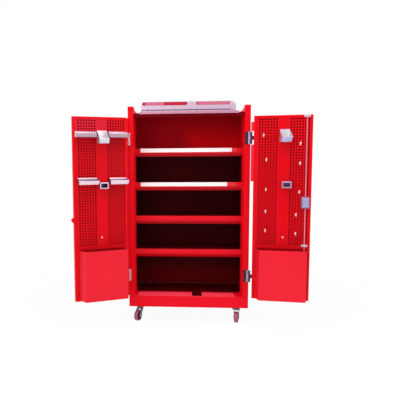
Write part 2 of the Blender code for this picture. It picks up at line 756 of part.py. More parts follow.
def open_holder(bm, u, seat, foot, mouth, low, front_height, back_height):
    """Pocket of thin sheet against the door: it is deeper at its mouth than at its foot."""
    inset = HOLDER_SHEET / 2
    start = seat + inset
    shell = door_box(bm, (u[0] + inset, u[1] - inset), (start, start + foot), (low + inset, low + back_height))
    for vert in shell:
        if vert.co.y > at_v(start + foot / 2) and vert.co.z > low + back_height / 2:
            vert.co.y = at_v(start + mouth)
            vert.co.z = low + front_height
    lid = [face for face in bm.faces if all(vert in shell and vert.co.z > low + inset * 2 for vert in face.verts)]
    bmesh.ops.delete(bm, geom=lid, context="FACES_ONLY")


def build_tray(name, carrier, span, level):
    bm = bmesh.new()
    open_holder(bm, span, ON_FLANGE, TRAY_DEPTH, TRAY_DEPTH + TRAY_FLARE, level, TRAY_FRONT, TRAY_BACK)
    piece(name, bm, ZINC, carrier, sheet=HOLDER_SHEET, bend=HOLDER_BEND)


def build_tray_pair(height, carrier, centre, holder_width, level):
    """Two trays at one level, on either side of the holder that hangs between them."""
    beside = holder_width / 2 + TRAY_TO_HOLDER
    build_tray("tray_" + height + "_hinge", carrier, (TRAY_MARGIN, centre - beside), level)
    build_tray("tray_" + height + "_free", carrier, (centre + beside, DOOR_WIDTH - TRAY_MARGIN), level)


def build_slant_holder(name, carrier, mirrored, centre):
    bm = bmesh.new()
    span = (centre - SLANT_WIDTH / 2, centre + SLANT_WIDTH / 2)
    open_holder(bm, span, ON_PANEL, SLANT_FOOT, SLANT_MOUTH, SLANT_LEVEL, SLANT_FRONT, SLANT_HEIGHT)
    piece(name, bm, ZINC, carrier, mirrored, sheet=HOLDER_SHEET, bend=HOLDER_BEND)


def build_square_holder(name, carrier, mirrored, centre):
    """Box of thin sheet against the panel with a square mouth in its front."""
    bm = bmesh.new()
    inset = HOLDER_SHEET / 2
    start = ON_PANEL + inset
    door_box(
        bm,
        (centre - SQUARE_WIDTH / 2, centre + SQUARE_WIDTH / 2),
        (start, start + SQUARE_DEPTH),
        (SQUARE_LEVEL, SQUARE_LEVEL + SQUARE_HEIGHT),
    )
    bm.normal_update()
    mouth = max(bm.faces, key=lambda face: face.calc_center_median().y)
    bmesh.ops.inset_region(bm, faces=[mouth], thickness=SQUARE_FRAME)
    bmesh.ops.delete(bm, geom=[mouth], context="FACES_ONLY")
    piece(name, bm, ZINC, carrier, mirrored, sheet=HOLDER_SHEET, bend=HOLDER_BEND)


def build_tongue(carrier):
    """Painted catch plate on the inner flange of the left door, which the right door closes over."""
    bm = bmesh.new()
    reach = DOOR_WIDTH + TONGUE_REACH
    radius = TONGUE_HEIGHT / 2
    nose = rounded_corner((reach - radius, TONGUE_LEVEL), radius, -90.0, 90.0, steps=10)
    start = DOOR_WIDTH - TONGUE_SEAT
    outline = [(start, TONGUE_LEVEL + radius), (start, TONGUE_LEVEL - radius)] + nose
    prism(bm, [(at_u(u), at_v(ON_FLANGE), z) for u, z in outline], "Y", TONGUE_THICK)
    piece("left_catch_tongue", bm, RED_PAINT, carrier)


# Lift-off hinges: a post leaf with two knuckles and the pin fast in them, and a door leaf with the middle knuckle
def knuckle_spans(low):
    third = HINGE_HEIGHT / 3
    return [(low + i * third + KNUCKLE_GAP / 2, low + (i + 1) * third - KNUCKLE_GAP / 2) for i in range(3)]


def build_post_leaf(name, low, mirrored):
    edge = POST_EDGE + LEAF_FROM_POST_EDGE
    clear = PIN_X - KNUCKLE_RADIUS - 2 * KNUCKLE_GAP
    back = -SEAT_GAP
    plate = bmesh.new()
    box(plate, (edge, back - LEAF_THICK, low), (clear, back, low + HINGE_HEIGHT))
    leaf = piece(name, plate, ZINC, CABINET, mirrored)
    lower, _, upper = knuckle_spans(low)
    knuckles = bmesh.new()
    arms = bmesh.new()
    for start, end in (lower, upper):
        cylinder(knuckles, KNUCKLE_RADIUS, (PIN_X, -PIN_PROUD, start), (PIN_X, -PIN_PROUD, end), KNUCKLE_STEPS)
        box(
            arms,
            (clear - LEAF_THICK, back - POST_ARM_THICK, start + KNUCKLE_GAP),
            (PIN_X, back - KNUCKLE_GAP, end - KNUCKLE_GAP),
        )
    join_or_cut(leaf, arms, "UNION", mirrored)
    join_or_cut(leaf, knuckles, "UNION", mirrored)
    pin = bmesh.new()
    cylinder(
        pin,
        PIN_RADIUS,
        (PIN_X, -PIN_PROUD, low + KNUCKLE_RADIUS),
        (PIN_X, -PIN_PROUD, low + HINGE_HEIGHT - KNUCKLE_RADIUS),
        12,
    )
    join_or_cut(leaf, pin, "UNION", mirrored)


def build_door_leaf(name, low, carrier, mirrored):
    """Cranked leaf: its pad lies on the door's outer face and its arm passes over the post leaf."""
    face = -DOOR_ARM_LIFT - DOOR_ARM_THICK
    pad = bmesh.new()
    door_box(pad, (KNUCKLE_GAP, DOOR_PAD_LENGTH), (face, -SEAT_GAP), (low, low + HINGE_HEIGHT))
    leaf = piece(name, pad, ZINC, carrier, mirrored)
    start, end = knuckle_spans(low)[1]
    arm = bmesh.new()
    box(
        arm,
        (0.0, at_v(face + KNUCKLE_GAP / 2), start + KNUCKLE_GAP),
        (at_u(DOOR_PAD_LENGTH / 2), at_v(-DOOR_ARM_LIFT), end - KNUCKLE_GAP),
    )
    join_or_cut(leaf, arm, "UNION", mirrored)
    ring = bmesh.new()
    cylinder(ring, KNUCKLE_RADIUS, (0.0, 0.0, start), (0.0, 0.0, end), KNUCKLE_STEPS)
    join_or_cut(leaf, ring, "UNION", mirrored)
    hole = bmesh.new()
    cylinder(hole, PIN_RADIUS + PIN_FIT, (0.0, 0.0, low), (0.0, 0.0, low + HINGE_HEIGHT), 12)
    join_or_cut(leaf, hole, "DIFFERENCE", mirrored)


def build_hinges(name, carrier, side):
    for height, low in HINGE_LEVELS.items():
        build_post_leaf(name + "_hinge_post_leaf_" + height, low, side < 0)
        build_door_leaf(name + "_hinge_door_leaf_" + height, low, carrier, side > 0)


# Rod lock: a case with a cam on the inner face, two flat rods in guides, and a lever on the outer face
def build_lock(carrier, shell, panel, pocket):
    spindle_hole = bmesh.new()
    cylinder(
        spindle_hole,
        SPINDLE_RADIUS + SPINDLE_FIT,
        (at_u(ROD_FROM_HINGE), at_v(-DOOR_THICK), LOCK_LEVEL),
        (at_u(ROD_FROM_HINGE), at_v(2 * DOOR_THICK), LOCK_LEVEL),
        12,
    )
    panel_hole = spindle_hole.copy()
    join_or_cut(shell, spindle_hole, "DIFFERENCE", True)
    join_or_cut(panel, panel_hole, "DIFFERENCE", True)
    rod_notch = bmesh.new()
    slack = 3 * GUIDE_CLEAR
    door_box(
        rod_notch,
        (ROD_FROM_HINGE - ROD_WIDTH / 2 - slack, ROD_FROM_HINGE + ROD_WIDTH / 2 + slack),
        (0.0, ROD_FRONT + slack),
        (DOOR_BOTTOM - DOOR_SILL_GAP, DOOR_BOTTOM + BIN_BOTTOM_ABOVE_DOOR + 6 * SHEET),
    )
    join_or_cut(pocket, rod_notch, "DIFFERENCE", True)

    # Case: a pressed cover with sloped shoulders, open towards the panel
    bm = bmesh.new()
    inset = LOCK_CASE_SHEET / 2
    back = ON_FLANGE
    front = back + LOCK_CASE_DEPTH - inset
    u_range = (ROD_FROM_HINGE - LOCK_CASE_WIDTH / 2 + inset, ROD_FROM_HINGE + LOCK_CASE_WIDTH / 2 - inset)
    z_range = (LOCK_LEVEL - LOCK_CASE_HEIGHT / 2 + inset, LOCK_LEVEL + LOCK_CASE_HEIGHT / 2 - inset)
    shell_verts = door_box(bm, u_range, (back, front), z_range)
    middle_u = at_u(ROD_FROM_HINGE)
    for vert in shell_verts:
        if vert.co.y > at_v((back + front) / 2):
            vert.co.x += LOCK_CASE_SHOULDER if vert.co.x < middle_u else -LOCK_CASE_SHOULDER
            vert.co.z += LOCK_CASE_SHOULDER if vert.co.z < LOCK_LEVEL else -LOCK_CASE_SHOULDER
    bm.normal_update()
    drop_face(bm, "Y", at_v(back))
    case = piece("lock_case", bm, LOCK_STEEL, carrier, True, sheet=LOCK_CASE_SHEET, bend=BEND_RADIUS)
    way = bmesh.new()
    door_box(
        way,
        (ROD_FROM_HINGE - ROD_WIDTH / 2 - slack, ROD_FROM_HINGE + ROD_WIDTH / 2 + slack),
        (0.0, ROD_FRONT + slack),
        (LOCK_LEVEL - LOCK_CASE_HEIGHT, LOCK_LEVEL + LOCK_CASE_HEIGHT),
    )
    join_or_cut(case, way, "DIFFERENCE", True)

    # Guides: staples over the rods
    for height, level in GUIDE_LEVELS.items():
        bm = bmesh.new()
        seat = ON_FLANGE if level > DOOR_TOP - DOOR_RETURN else ON_PANEL
        over = ROD_FRONT + GUIDE_CLEAR + SHEET / 2
        reach = ROD_WIDTH / 2 + GUIDE_CLEAR + SHEET / 2
        foot = seat + SHEET / 2
        chain = [
            (at_u(ROD_FROM_HINGE - GUIDE_WIDTH / 2), at_v(foot), level - GUIDE_HEIGHT / 2),
            (at_u(ROD_FROM_HINGE - reach), at_v(foot), level - GUIDE_HEIGHT / 2),
            (at_u(ROD_FROM_HINGE - reach), at_v(over), level - GUIDE_HEIGHT / 2),
            (at_u(ROD_FROM_HINGE + reach), at_v(over), level - GUIDE_HEIGHT / 2),
            (at_u(ROD_FROM_HINGE + reach), at_v(foot), level - GUIDE_HEIGHT / 2),
            (at_u(ROD_FROM_HINGE + GUIDE_WIDTH / 2), at_v(foot), level - GUIDE_HEIGHT / 2),
        ]
        strip(bm, chain, "Z", GUIDE_HEIGHT)
        piece("rod_guide_" + height, bm, ZINC, carrier, True, sheet=SHEET, bend=GUIDE_BEND)

    # Rods: drawn back, so that the doors can swing
    u_range = (ROD_FROM_HINGE - ROD_WIDTH / 2, ROD_FROM_HINGE + ROD_WIDTH / 2)
    start = SPINDLE_RADIUS + 2 * GUIDE_CLEAR
    bm = bmesh.new()
    door_box(bm, u_range, (ROD_BACK, ROD_FRONT), (LOCK_LEVEL + start, DOOR_TOP - ROD_INSET))
    piece("upper_lock_rod", bm, ZINC, carrier, True)
    bm = bmesh.new()
    door_box(bm, u_range, (ROD_BACK, ROD_FRONT), (DOOR_BOTTOM + ROD_INSET, LOCK_LEVEL - start))
    piece("lower_lock_rod", bm, ZINC, carrier, True)

    # Lever and cam turn together on the spindle
    spindle = pivot("lock_spindle", (-at_u(ROD_FROM_HINGE), 0.0, LOCK_LEVEL), 0.0, carrier)
    cam_back = ROD_FRONT + GUIDE_CLEAR
    bm = bmesh.new()
    cylinder(bm, CAM_RADIUS, (0.0, at_v(cam_back), 0.0), (0.0, at_v(cam_back + CAM_THICK), 0.0), 16)
    made = smooth(piece("lock_cam", bm, LOCK_STEEL, spindle))
    hole = bmesh.new()
    cylinder(hole, SPINDLE_RADIUS + SPINDLE_FIT, (0.0, 0.0, 0.0), (0.0, at_v(2 * DOOR_THICK), 0.0), 12)
    join_or_cut(made, hole, "DIFFERENCE")

    bm = bmesh.new()
    lever_face = -LEVER_STANDOFF
    tip = rounded_corner((LEVER_LENGTH, 0.0), LEVER_WIDTH / 2, -90.0, 90.0)
    root = rounded_corner((0.0, 0.0), LEVER_WIDTH / 2, 90.0, 270.0)
    prism(bm, [(u, at_v(lever_face), z) for u, z in tip + root], "Y", LEVER_THICK)
    made = smooth(piece("lock_lever", bm, LOCK_STEEL, spindle))
    round_edges(made, LEVER_ROUND, 1)
    shaft = bmesh.new()
    cylinder(
        shaft,
        SPINDLE_RADIUS,
        (0.0, at_v(lever_face + LEVER_THICK / 2), 0.0),
        (0.0, at_v(cam_back + CAM_THICK), 0.0),
        12,
    )
    join_or_cut(made, shaft, "UNION")
    rose = bmesh.new()
    cylinder(rose, ROSE_RADIUS, (0.0, at_v(-SEAT_GAP - ROSE_THICK), 0.0), (0.0, at_v(-SEAT_GAP), 0.0), 16)
    join_or_cut(made, rose, "UNION")


def build_left_door():
    build_door_shell("left_door_shell", LEFT_DOOR, False)
    build_pegboard("left_pegboard", LEFT_DOOR, False)
    build_bin("left_door_bin", LEFT_DOOR, False, LEFT_BIN_BACK_MARGINS, LEFT_BIN_FRONT_MARGINS)
    slant = DOOR_MIDDLE + LEFT_SLANT_OFFSET
    square = DOOR_MIDDLE + LEFT_SQUARE_OFFSET
    build_slant_holder("left_slant_holder", LEFT_DOOR, False, slant)
    build_tray_pair("upper", LEFT_DOOR, slant, SLANT_WIDTH, UPPER_TRAY_LEVEL)
    build_square_holder("left_square_holder", LEFT_DOOR, False, square)
    build_tray_pair("lower", LEFT_DOOR, square, SQUARE_WIDTH, LOWER_TRAY_LEVEL)
    build_tongue(LEFT_DOOR)


def build_right_door():
    shell = build_door_shell("right_door_shell", RIGHT_DOOR, True)
    panel = build_pegboard("right_pegboard", RIGHT_DOOR, True)
    pocket = build_bin("right_door_bin", RIGHT_DOOR, True, RIGHT_BIN_BACK_MARGINS, RIGHT_BIN_FRONT_MARGINS)
    build_slant_holder("right_slant_holder", RIGHT_DOOR, True, DOOR_MIDDLE + RIGHT_SLANT_OFFSET)
    build_square_holder("right_square_holder", RIGHT_DOOR, True, DOOR_MIDDLE + RIGHT_SQUARE_OFFSET)
    build_lock(RIGHT_DOOR, shell, panel, pocket)


# Casters: a swivelling fork with its trail under each plate, an axle and a wheel
def build_caster(corner, place):
    swivel = pivot("caster_swivel_" + corner, (*place, 0.0), CASTER_HEADINGS[corner], CABINET)
    leg = HUB_WIDTH / 2 + SEAT_GAP + FORK_SHEET / 2
    crown = AXLE_HEIGHT + WHEEL_RADIUS + FORK_CLEAR + FORK_SHEET / 2
    foot = AXLE_HEIGHT - FORK_TOE
    bm = bmesh.new()
    chain = [
        (-leg, -FORK_CROWN_LENGTH / 2, foot),
        (-leg, -FORK_CROWN_LENGTH / 2, crown),
        (leg, -FORK_CROWN_LENGTH / 2, crown),
        (leg, -FORK_CROWN_LENGTH / 2, foot),
    ]
    near, far = strip(bm, chain, "Y", FORK_CROWN_LENGTH)
    for vert in (near[0], near[3]):
        vert.co.y = CASTER_TRAIL - FORK_LEG_WIDTH / 2
    for vert in (far[0], far[3]):
        vert.co.y = CASTER_TRAIL + FORK_LEG_WIDTH / 2
    fork = piece("caster_fork_" + corner, bm, FORK_STEEL, swivel, sheet=FORK_SHEET, bend=FORK_BEND)
    neck = bmesh.new()
    cylinder(neck, RACEWAY_NECK, (0.0, 0.0, crown), (0.0, 0.0, PLATE_BOTTOM - SWIVEL_GAP), RACEWAY_STEPS)
    join_or_cut(fork, neck, "UNION")
    raceway = bmesh.new()
    cylinder(raceway, RACEWAY_RADIUS, (0.0, 0.0, crown), (0.0, 0.0, crown + RACEWAY_HEIGHT), RACEWAY_STEPS)
    join_or_cut(fork, raceway, "UNION")
    hole = bmesh.new()
    reach = leg + 4 * FORK_SHEET
    cylinder(
        hole,
        AXLE_RADIUS + AXLE_FIT,
        (-reach, CASTER_TRAIL, AXLE_HEIGHT),
        (reach, CASTER_TRAIL, AXLE_HEIGHT),
        12,
    )
    join_or_cut(fork, hole, "DIFFERENCE")

    outside = leg + FORK_SHEET / 2 + SEAT_GAP
    bm = bmesh.new()
    cylinder(bm, AXLE_RADIUS, (-outside, CASTER_TRAIL, AXLE_HEIGHT), (outside, CASTER_TRAIL, AXLE_HEIGHT), 12)
    axle = smooth(piece("caster_axle_" + corner, bm, ZINC, swivel))
    heads = bmesh.new()
    for end in (-1.0, 1.0):
        cylinder(
            heads,
            AXLE_HEAD_RADIUS,
            (end * outside, CASTER_TRAIL, AXLE_HEIGHT),
            (end * (outside + AXLE_HEAD), CASTER_TRAIL, AXLE_HEIGHT),
            6,
        )
    join_or_cut(axle, heads, "UNION")

    tread = WHEEL_WIDTH / 2
    hub = HUB_WIDTH / 2
    web = WEB_WIDTH / 2
    inner = AXLE_RADIUS + AXLE_FIT
    shoulder = WHEEL_RADIUS - WHEEL_CROWN
    upper = [
        (inner, hub),
        (HUB_RADIUS, hub),
        (HUB_RADIUS, web),
        (RIM_RADIUS, web),
        (RIM_RADIUS, tread),
        (shoulder, tread),
        (WHEEL_RADIUS, tread - WHEEL_CROWN * 2),
    ]
    profile = upper + [(radius, -height) for radius, height in reversed(upper)]
    wheel = turned("caster_wheel_" + corner, profile, WHEEL_MAROON, swivel)
    wheel.location = (0.0, CASTER_TRAIL, AXLE_HEIGHT)
    # The wheel stands on a facet of its tread
    wheel.rotation_mode = "YXZ"
    wheel.rotation_euler = (math.pi / ROUND_STEPS, math.pi / 2, 0.0)


build_base()
build_side("left", -1)
build_side("right", 1)
build_back()
build_roof()
build_corner_caps()
build_gallery()
build_shelves()
build_left_door()
build_right_door()
build_hinges("left", LEFT_DOOR, -1)
build_hinges("right", RIGHT_DOOR, 1)
for caster_corner, caster_place in caster_places().items():
    build_caster(caster_corner, caster_place)


# The origin is the middle of the floor that the cabinet covers with its doors open
def centre_on_floor():
    bpy.context.view_layer.update()
    graph = bpy.context.evaluated_depsgraph_get()
    points = []
    for made in PARTS.objects:
        if made.type == "EMPTY":
            continue
        shape = made.evaluated_get(graph)
        points += [shape.matrix_world @ vert.co for vert in shape.data.vertices]
    for axis in (0, 1):
        values = [point[axis] for point in points]
        CABINET.location[axis] = -(min(values) + max(values)) / 2
    bpy.context.view_layer.update()


centre_on_floor()
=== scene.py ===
# Tool cabinet of red powder-coated sheet steel on casters, with its pegboard doors open: the looks.
import json
import math

import bmesh
import bpy
from mathutils import Matrix, Vector


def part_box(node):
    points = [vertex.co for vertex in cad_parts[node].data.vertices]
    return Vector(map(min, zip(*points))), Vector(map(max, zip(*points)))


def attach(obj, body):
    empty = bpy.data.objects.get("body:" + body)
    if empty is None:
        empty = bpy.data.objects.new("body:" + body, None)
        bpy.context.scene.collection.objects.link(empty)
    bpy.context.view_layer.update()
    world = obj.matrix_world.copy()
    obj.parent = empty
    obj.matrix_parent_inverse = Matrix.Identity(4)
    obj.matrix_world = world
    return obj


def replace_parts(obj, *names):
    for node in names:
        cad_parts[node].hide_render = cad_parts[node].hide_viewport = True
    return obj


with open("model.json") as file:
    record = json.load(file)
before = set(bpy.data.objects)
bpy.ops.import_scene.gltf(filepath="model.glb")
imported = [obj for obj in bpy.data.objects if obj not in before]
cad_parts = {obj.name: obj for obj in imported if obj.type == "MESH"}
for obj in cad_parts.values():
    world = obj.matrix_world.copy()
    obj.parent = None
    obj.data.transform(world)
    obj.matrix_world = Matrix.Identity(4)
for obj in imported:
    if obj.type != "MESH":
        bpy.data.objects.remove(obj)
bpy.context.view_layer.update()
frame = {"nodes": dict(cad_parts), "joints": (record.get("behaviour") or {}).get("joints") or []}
nodes = frame["nodes"]


# Base pan
# An inverted pan of folded sheet steel that carries the whole cabinet, with the caster plates welded under
# it, sprayed with red polyester powder and baked. Its sunk floor and the notch in its sill are darkened
# with painted shade, and its sill ledge carries a painted highlight.
# A small cup under the sill takes the end of the lower lock rod.
PAINT_RED = (0.76, 0.0025, 0.010)
PAINT_DEEP = (0.69, 0.0020, 0.008)
PLINTH_RED = (0.73, 0.0052, 0.0180)
PLINTH_DEEP = (0.67, 0.0040, 0.0145)
# Painted shade: this dark maroon stands in for the shade deep inside the cabinet.
INSIDE_SHADE_RED = (0.065, 0.0006, 0.0020)
INSIDE_SHADE_DEEP = (0.045, 0.0004, 0.0015)
# Painted highlight: the pinker, brighter red on the sill ledge stands in for light falling on its top.
LEDGE_HIGHLIGHT_RED = (0.98, 0.058, 0.105)
PAINT_GLOSS = (0.24, 0.38)
PAINT_SHINE = 0.06
DULL_SHINE = 0.03
PAINT_PEEL = (520.0, 0.00012)
PEEL_DETAIL = 2.0
DRIFT_NOISE = {"scale": 2.6, "detail": 4.0}
HAZE_NOISE = {"scale": 9.0, "detail": 5.0, "grain": 0.6}
WELD_GAP = 0.00002
FLAT_TURN = 0.5
FOLD_TURN = 50.0
FLAT_WEIGHT = 80
BROKEN_EDGE = 0.0005
CRISP = 0.002
BETWEEN_POSTS = (-0.453, 0.453)
DARK_FROM = 0.235
DARK_FADE = 0.030
FLOOR_Z = (-0.05, 0.001)
FLOOR_END = 0.035
REAR_EDGE = (-0.100, -0.004)
NOTCH_FROM = 0.100
LEDGE_X = (-0.42, 0.38)
LEDGE_Y = (0.020, 0.190)
LEDGE_Z = (-0.02, 0.01)
LEDGE_FADE = 0.018
POCKET_X = (0.0330, 0.1190)
POCKET_Y = (0.0285, 0.1190)
POCKET_Z = (-0.0300, -0.0018)
POCKET_SHEET = 0.0010

base_low, base_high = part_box("base_pan")
cabinet_middle = (base_low.x + base_high.x) / 2
front_plane = base_low.y
rear_plane = base_high.y
depth = rear_plane - front_plane
sill_top = base_high.z


def put(tree, socket, value):
    """Links a socket, or sets it to a number, a vector or a colour."""
    if isinstance(value, bpy.types.NodeSocket):
        tree.links.new(value, socket)
    elif isinstance(value, tuple) and len(socket.default_value) == 4:
        socket.default_value = (*value, 1.0)
    else:
        socket.default_value = value


def add(tree, kind, *values, named=None, **settings):
    """Adds a node, with values or links on its first inputs and on its named ones."""
    node = tree.nodes.new(kind)
    for key, value in settings.items():
        setattr(node, key, value)
    for socket, value in zip(node.inputs, values):
        put(tree, socket, value)
    for label, value in (named or {}).items():
        put(tree, node.inputs[label], value)
    return node


def reckon(tree, operation, first, second=0.0):
    return add(tree, "ShaderNodeMath", first, second, operation=operation).outputs[0]


def noise(tree, position, scale, detail, grain=0.5):
    inputs = {"Vector": position, "Scale": scale, "Detail": detail, "Roughness": grain}
    return add(tree, "ShaderNodeTexNoise", named=inputs).outputs["Fac"]


def spread(tree, value, low, high, start=0.3, end=0.7):
    """Maps a range of values, by default the middle of a noise, to another range."""
    inputs = {"Value": value, "From Min": start, "From Max": end, "To Min": low, "To Max": high}
    return add(tree, "ShaderNodeMapRange", named=inputs).outputs["Result"]


def shader_group(name, inputs, outputs):
    """Empty shader group that reads a position and named values, with the sockets of its two ends."""
    group = bpy.data.node_groups.new(name, "ShaderNodeTree")
    face = group.interface
    face.new_socket("Position", in_out="INPUT", socket_type="NodeSocketVector")
    for label, value in inputs.items():
        kind = "NodeSocketVector" if isinstance(value, tuple) else "NodeSocketFloat"
        face.new_socket(label, in_out="INPUT", socket_type=kind).default_value = value
    for label in outputs:
        face.new_socket(label, in_out="OUTPUT", socket_type="NodeSocketFloat")
    return group, add(group, "NodeGroupInput").outputs, add(group, "NodeGroupOutput").inputs


def powder_coat_group():
    """Orange peel, slow drifts of tone and a gloss that varies from place to place."""
    inputs = {"Peel Scale": PAINT_PEEL[0], "Gloss Low": PAINT_GLOSS[0], "Gloss High": PAINT_GLOSS[1]}
    group, given, made = shader_group("powder_coat", inputs, ("Tone", "Roughness", "Height"))
    drift = noise(group, given["Position"], **DRIFT_NOISE)
    haze = noise(group, given["Position"], **HAZE_NOISE)
    peel = noise(group, given["Position"], given["Peel Scale"], PEEL_DETAIL)
    put(group, made["Tone"], spread(group, drift, 0.0, 1.0))
    put(group, made["Roughness"], spread(group, haze, given["Gloss Low"], given["Gloss High"]))
    put(group, made["Height"], peel)
    return group


def inside_box_group():
    """Mask of the points inside a box, which fades out over a soft border round it."""
    inputs = {"Low": (0.0, 0.0, 0.0), "High": (1.0, 1.0, 1.0), "Soft": 0.01}
    group, given, made = shader_group("inside_box", inputs, ("Mask",))

    def apart(operation, first, second):
        return add(group, "ShaderNodeVectorMath", first, second, operation=operation).outputs["Vector"]

    below = apart("SUBTRACT", given["Low"], given["Position"])
    above = apart("SUBTRACT", given["Position"], given["High"])
    out = add(group, "ShaderNodeSeparateXYZ", apart("MAXIMUM", below, above)).outputs
    furthest = reckon(group, "MAXIMUM", reckon(group, "MAXIMUM", out["X"], out["Y"]), out["Z"])
    put(group, made["Mask"], spread(group, furthest, 1.0, 0.0, 0.0, given["Soft"]))
    return group


POWDER_COAT = powder_coat_group()
INSIDE_BOX = inside_box_group()


def use_group(tree, group, values, place=None):
    """Places a shader group on the piece's own coordinates, or on those of a door's pin."""
    position = add(tree, "ShaderNodeTexCoord").outputs["Object"]
    if place:
        pin, turn, mirror = place
        seat = {
            "Vector": position,
            "Location": pin,
            "Rotation": (0.0, 0.0, turn),
            "Scale": (mirror, 1.0, 1.0),
        }
        position = add(tree, "ShaderNodeMapping", named=seat, vector_type="TEXTURE").outputs["Vector"]
    return add(tree, "ShaderNodeGroup", named={"Position": position, **values}, node_tree=group).outputs


def blend_colours(tree, mask, first, second):
    mix = add(tree, "ShaderNodeMix", mask, data_type="RGBA")
    put(tree, mix.inputs[6], first)
    put(tree, mix.inputs[7], second)
    return mix.outputs[2]


def box_mask(tree, low, high, soft, place):
    return use_group(tree, INSIDE_BOX, {"Low": low, "High": high, "Soft": soft}, place)["Mask"]


def paint(tree, tone, light, deep, zones=(), place=None):
    """Two tones that drift, with zones laid over them: boxes in one colour or in a paint of their own."""
    colour = blend_colours(tree, tone, deep, light)
    for low, high, soft, tint in zones:
        if isinstance(tint[0], tuple):
            tint = paint(tree, tone, *tint, place)
        colour = blend_colours(tree, box_mask(tree, low, high, soft, place), colour, tint)
    return colour


def start_material(name):
    made = bpy.data.materials.new(name)
    made.use_nodes = True
    return made, made.node_tree, made.node_tree.nodes["Principled BSDF"]


def coated(name, effect, values, light, deep, relief, zones=(), place=None):
    """Material with the drifting tones, the gloss and the relief of an effect."""
    made, tree, shader = start_material(name)
    skin = use_group(tree, effect, values)
    put(tree, shader.inputs["Base Color"], paint(tree, skin["Tone"], light, deep, zones, place))
    put(tree, shader.inputs["Roughness"], skin["Roughness"])
    if relief:
        bump = add(tree, "ShaderNodeBump", named={"Distance": relief, "Height": skin["Height"]})
        put(tree, shader.inputs["Normal"], bump.outputs["Normal"])
    return made, tree, shader


def powder_coat(
    name, light, deep, gloss=PAINT_GLOSS, shine=PAINT_SHINE, zones=(), place=None, peel=PAINT_PEEL
):
    """Sprayed and baked coat, whose peel has a scale and a height."""
    values = {"Peel Scale": peel[0], "Gloss Low": gloss[0], "Gloss High": gloss[1]}
    made, _, shader = coated(name, POWDER_COAT, values, light, deep, peel[1], zones, place)
    shader.inputs["Specular IOR Level"].default_value = shine
    return made


def smooth_tree():
    """Geometry Nodes tree that shades every face smooth."""
    tree = bpy.data.node_groups.new("smooth_faces", "GeometryNodeTree")
    for way in ("INPUT", "OUTPUT"):
        tree.interface.new_socket("Geometry", in_out=way, socket_type="NodeSocketGeometry")
    shade = add(tree, "GeometryNodeSetShadeSmooth", add(tree, "NodeGroupInput").outputs[0])
    add(tree, "NodeGroupOutput", shade.outputs[0])
    return tree


SMOOTH_FACES = smooth_tree()


def dress(node, material, edge=BROKEN_EDGE):
    """Gives a CAD node its finish, breaks its sharp edges and lets its folds run smooth into its flats."""
    shown = nodes[node]
    shown.data.materials.clear()
    shown.data.materials.append(material)
    shown.modifiers.new("weld", "WELD").merge_threshold = WELD_GAP
    flat = shown.modifiers.new("flat_faces", "DECIMATE")
    flat.decimate_type = "DISSOLVE"
    flat.angle_limit = math.radians(FLAT_TURN)
    round_off = shown.modifiers.new("broken_edges", "BEVEL")
    round_off.width = edge
    round_off.segments = 2
    round_off.limit_method = "ANGLE"
    round_off.angle_limit = math.radians(FOLD_TURN)
    shown.modifiers.new("smooth_faces", "NODES").node_group = SMOOTH_FACES
    shown.modifiers.new("flats_rule", "WEIGHTED_NORMAL").weight = FLAT_WEIGHT


def mesh_of(name, bm, *materials):
    """Mesh of a finished bmesh, in its materials."""
    mesh = bpy.data.meshes.new(name)
    bm.to_mesh(mesh)
    bm.free()
    for material in materials:
        mesh.materials.append(material)
    return mesh


def add_mesh(mesh, body):
    """Shows a mesh in the cabinet's frame as a piece that rides on a body."""
    made = bpy.data.objects.new(mesh.name, mesh)
    bpy.context.scene.collection.objects.link(made)
    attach(made, body)
    return made


def shifted(span, start):
    return start + span[0], start + span[1]


def inset(span, border):
    return span[0] + border, span[1] - border


def cabinet_zone(x_span, y_span, z_span, soft, colour):
    """Zone of a coat: a box from the cabinet's middle, its front and the ground, with a soft border."""
    low, high = zip(shifted(x_span, cabinet_middle), shifted(y_span, front_plane), z_span)
    return low, high, soft, colour


# The floor zones paint a highlight on the ledge, and shade on the sunk floor, its rear edge and the notch.
floor_z = shifted(FLOOR_Z, sill_top)
floor_zones = (
    cabinet_zone(LEDGE_X, LEDGE_Y, shifted(LEDGE_Z, sill_top), LEDGE_FADE, LEDGE_HIGHLIGHT_RED),
    cabinet_zone(BETWEEN_POSTS, (DARK_FROM, depth - FLOOR_END), floor_z, DARK_FADE, INSIDE_SHADE_RED),
    cabinet_zone(BETWEEN_POSTS, shifted(REAR_EDGE, depth), floor_z, CRISP, INSIDE_SHADE_RED),
    cabinet_zone(inset(POCKET_X, CRISP), (NOTCH_FROM, DARK_FROM), floor_z, CRISP, INSIDE_SHADE_RED),
)
dress("base_pan", powder_coat("base_red", PLINTH_RED, PLINTH_DEEP, zones=floor_zones))

cup_spans = (shifted(POCKET_X, cabinet_middle), shifted(POCKET_Y, front_plane), shifted(POCKET_Z, sill_top))
cup_low, cup_high = (Vector(corner) for corner in zip(*cup_spans))
cup_place = Matrix.Translation((cup_low + cup_high) / 2) @ Matrix.Diagonal((*(cup_high - cup_low), 1.0))
cup = bmesh.new()
bmesh.ops.create_cube(cup, size=1.0, matrix=cup_place)
cup.normal_update()
mouth = [face for face in cup.faces if face.normal.z > 0.5]
bmesh.ops.delete(cup, geom=mouth, context="FACES_ONLY")
bmesh.ops.solidify(cup, geom=cup.faces[:], thickness=POCKET_SHEET)
# The cup is coloured with painted shade.
cup_shade = powder_coat("pocket_painted_shade", INSIDE_SHADE_RED, INSIDE_SHADE_DEEP, shine=DULL_SHINE)
add_mesh(mesh_of("rod_pocket", cup, cup_shade), "cabinet")
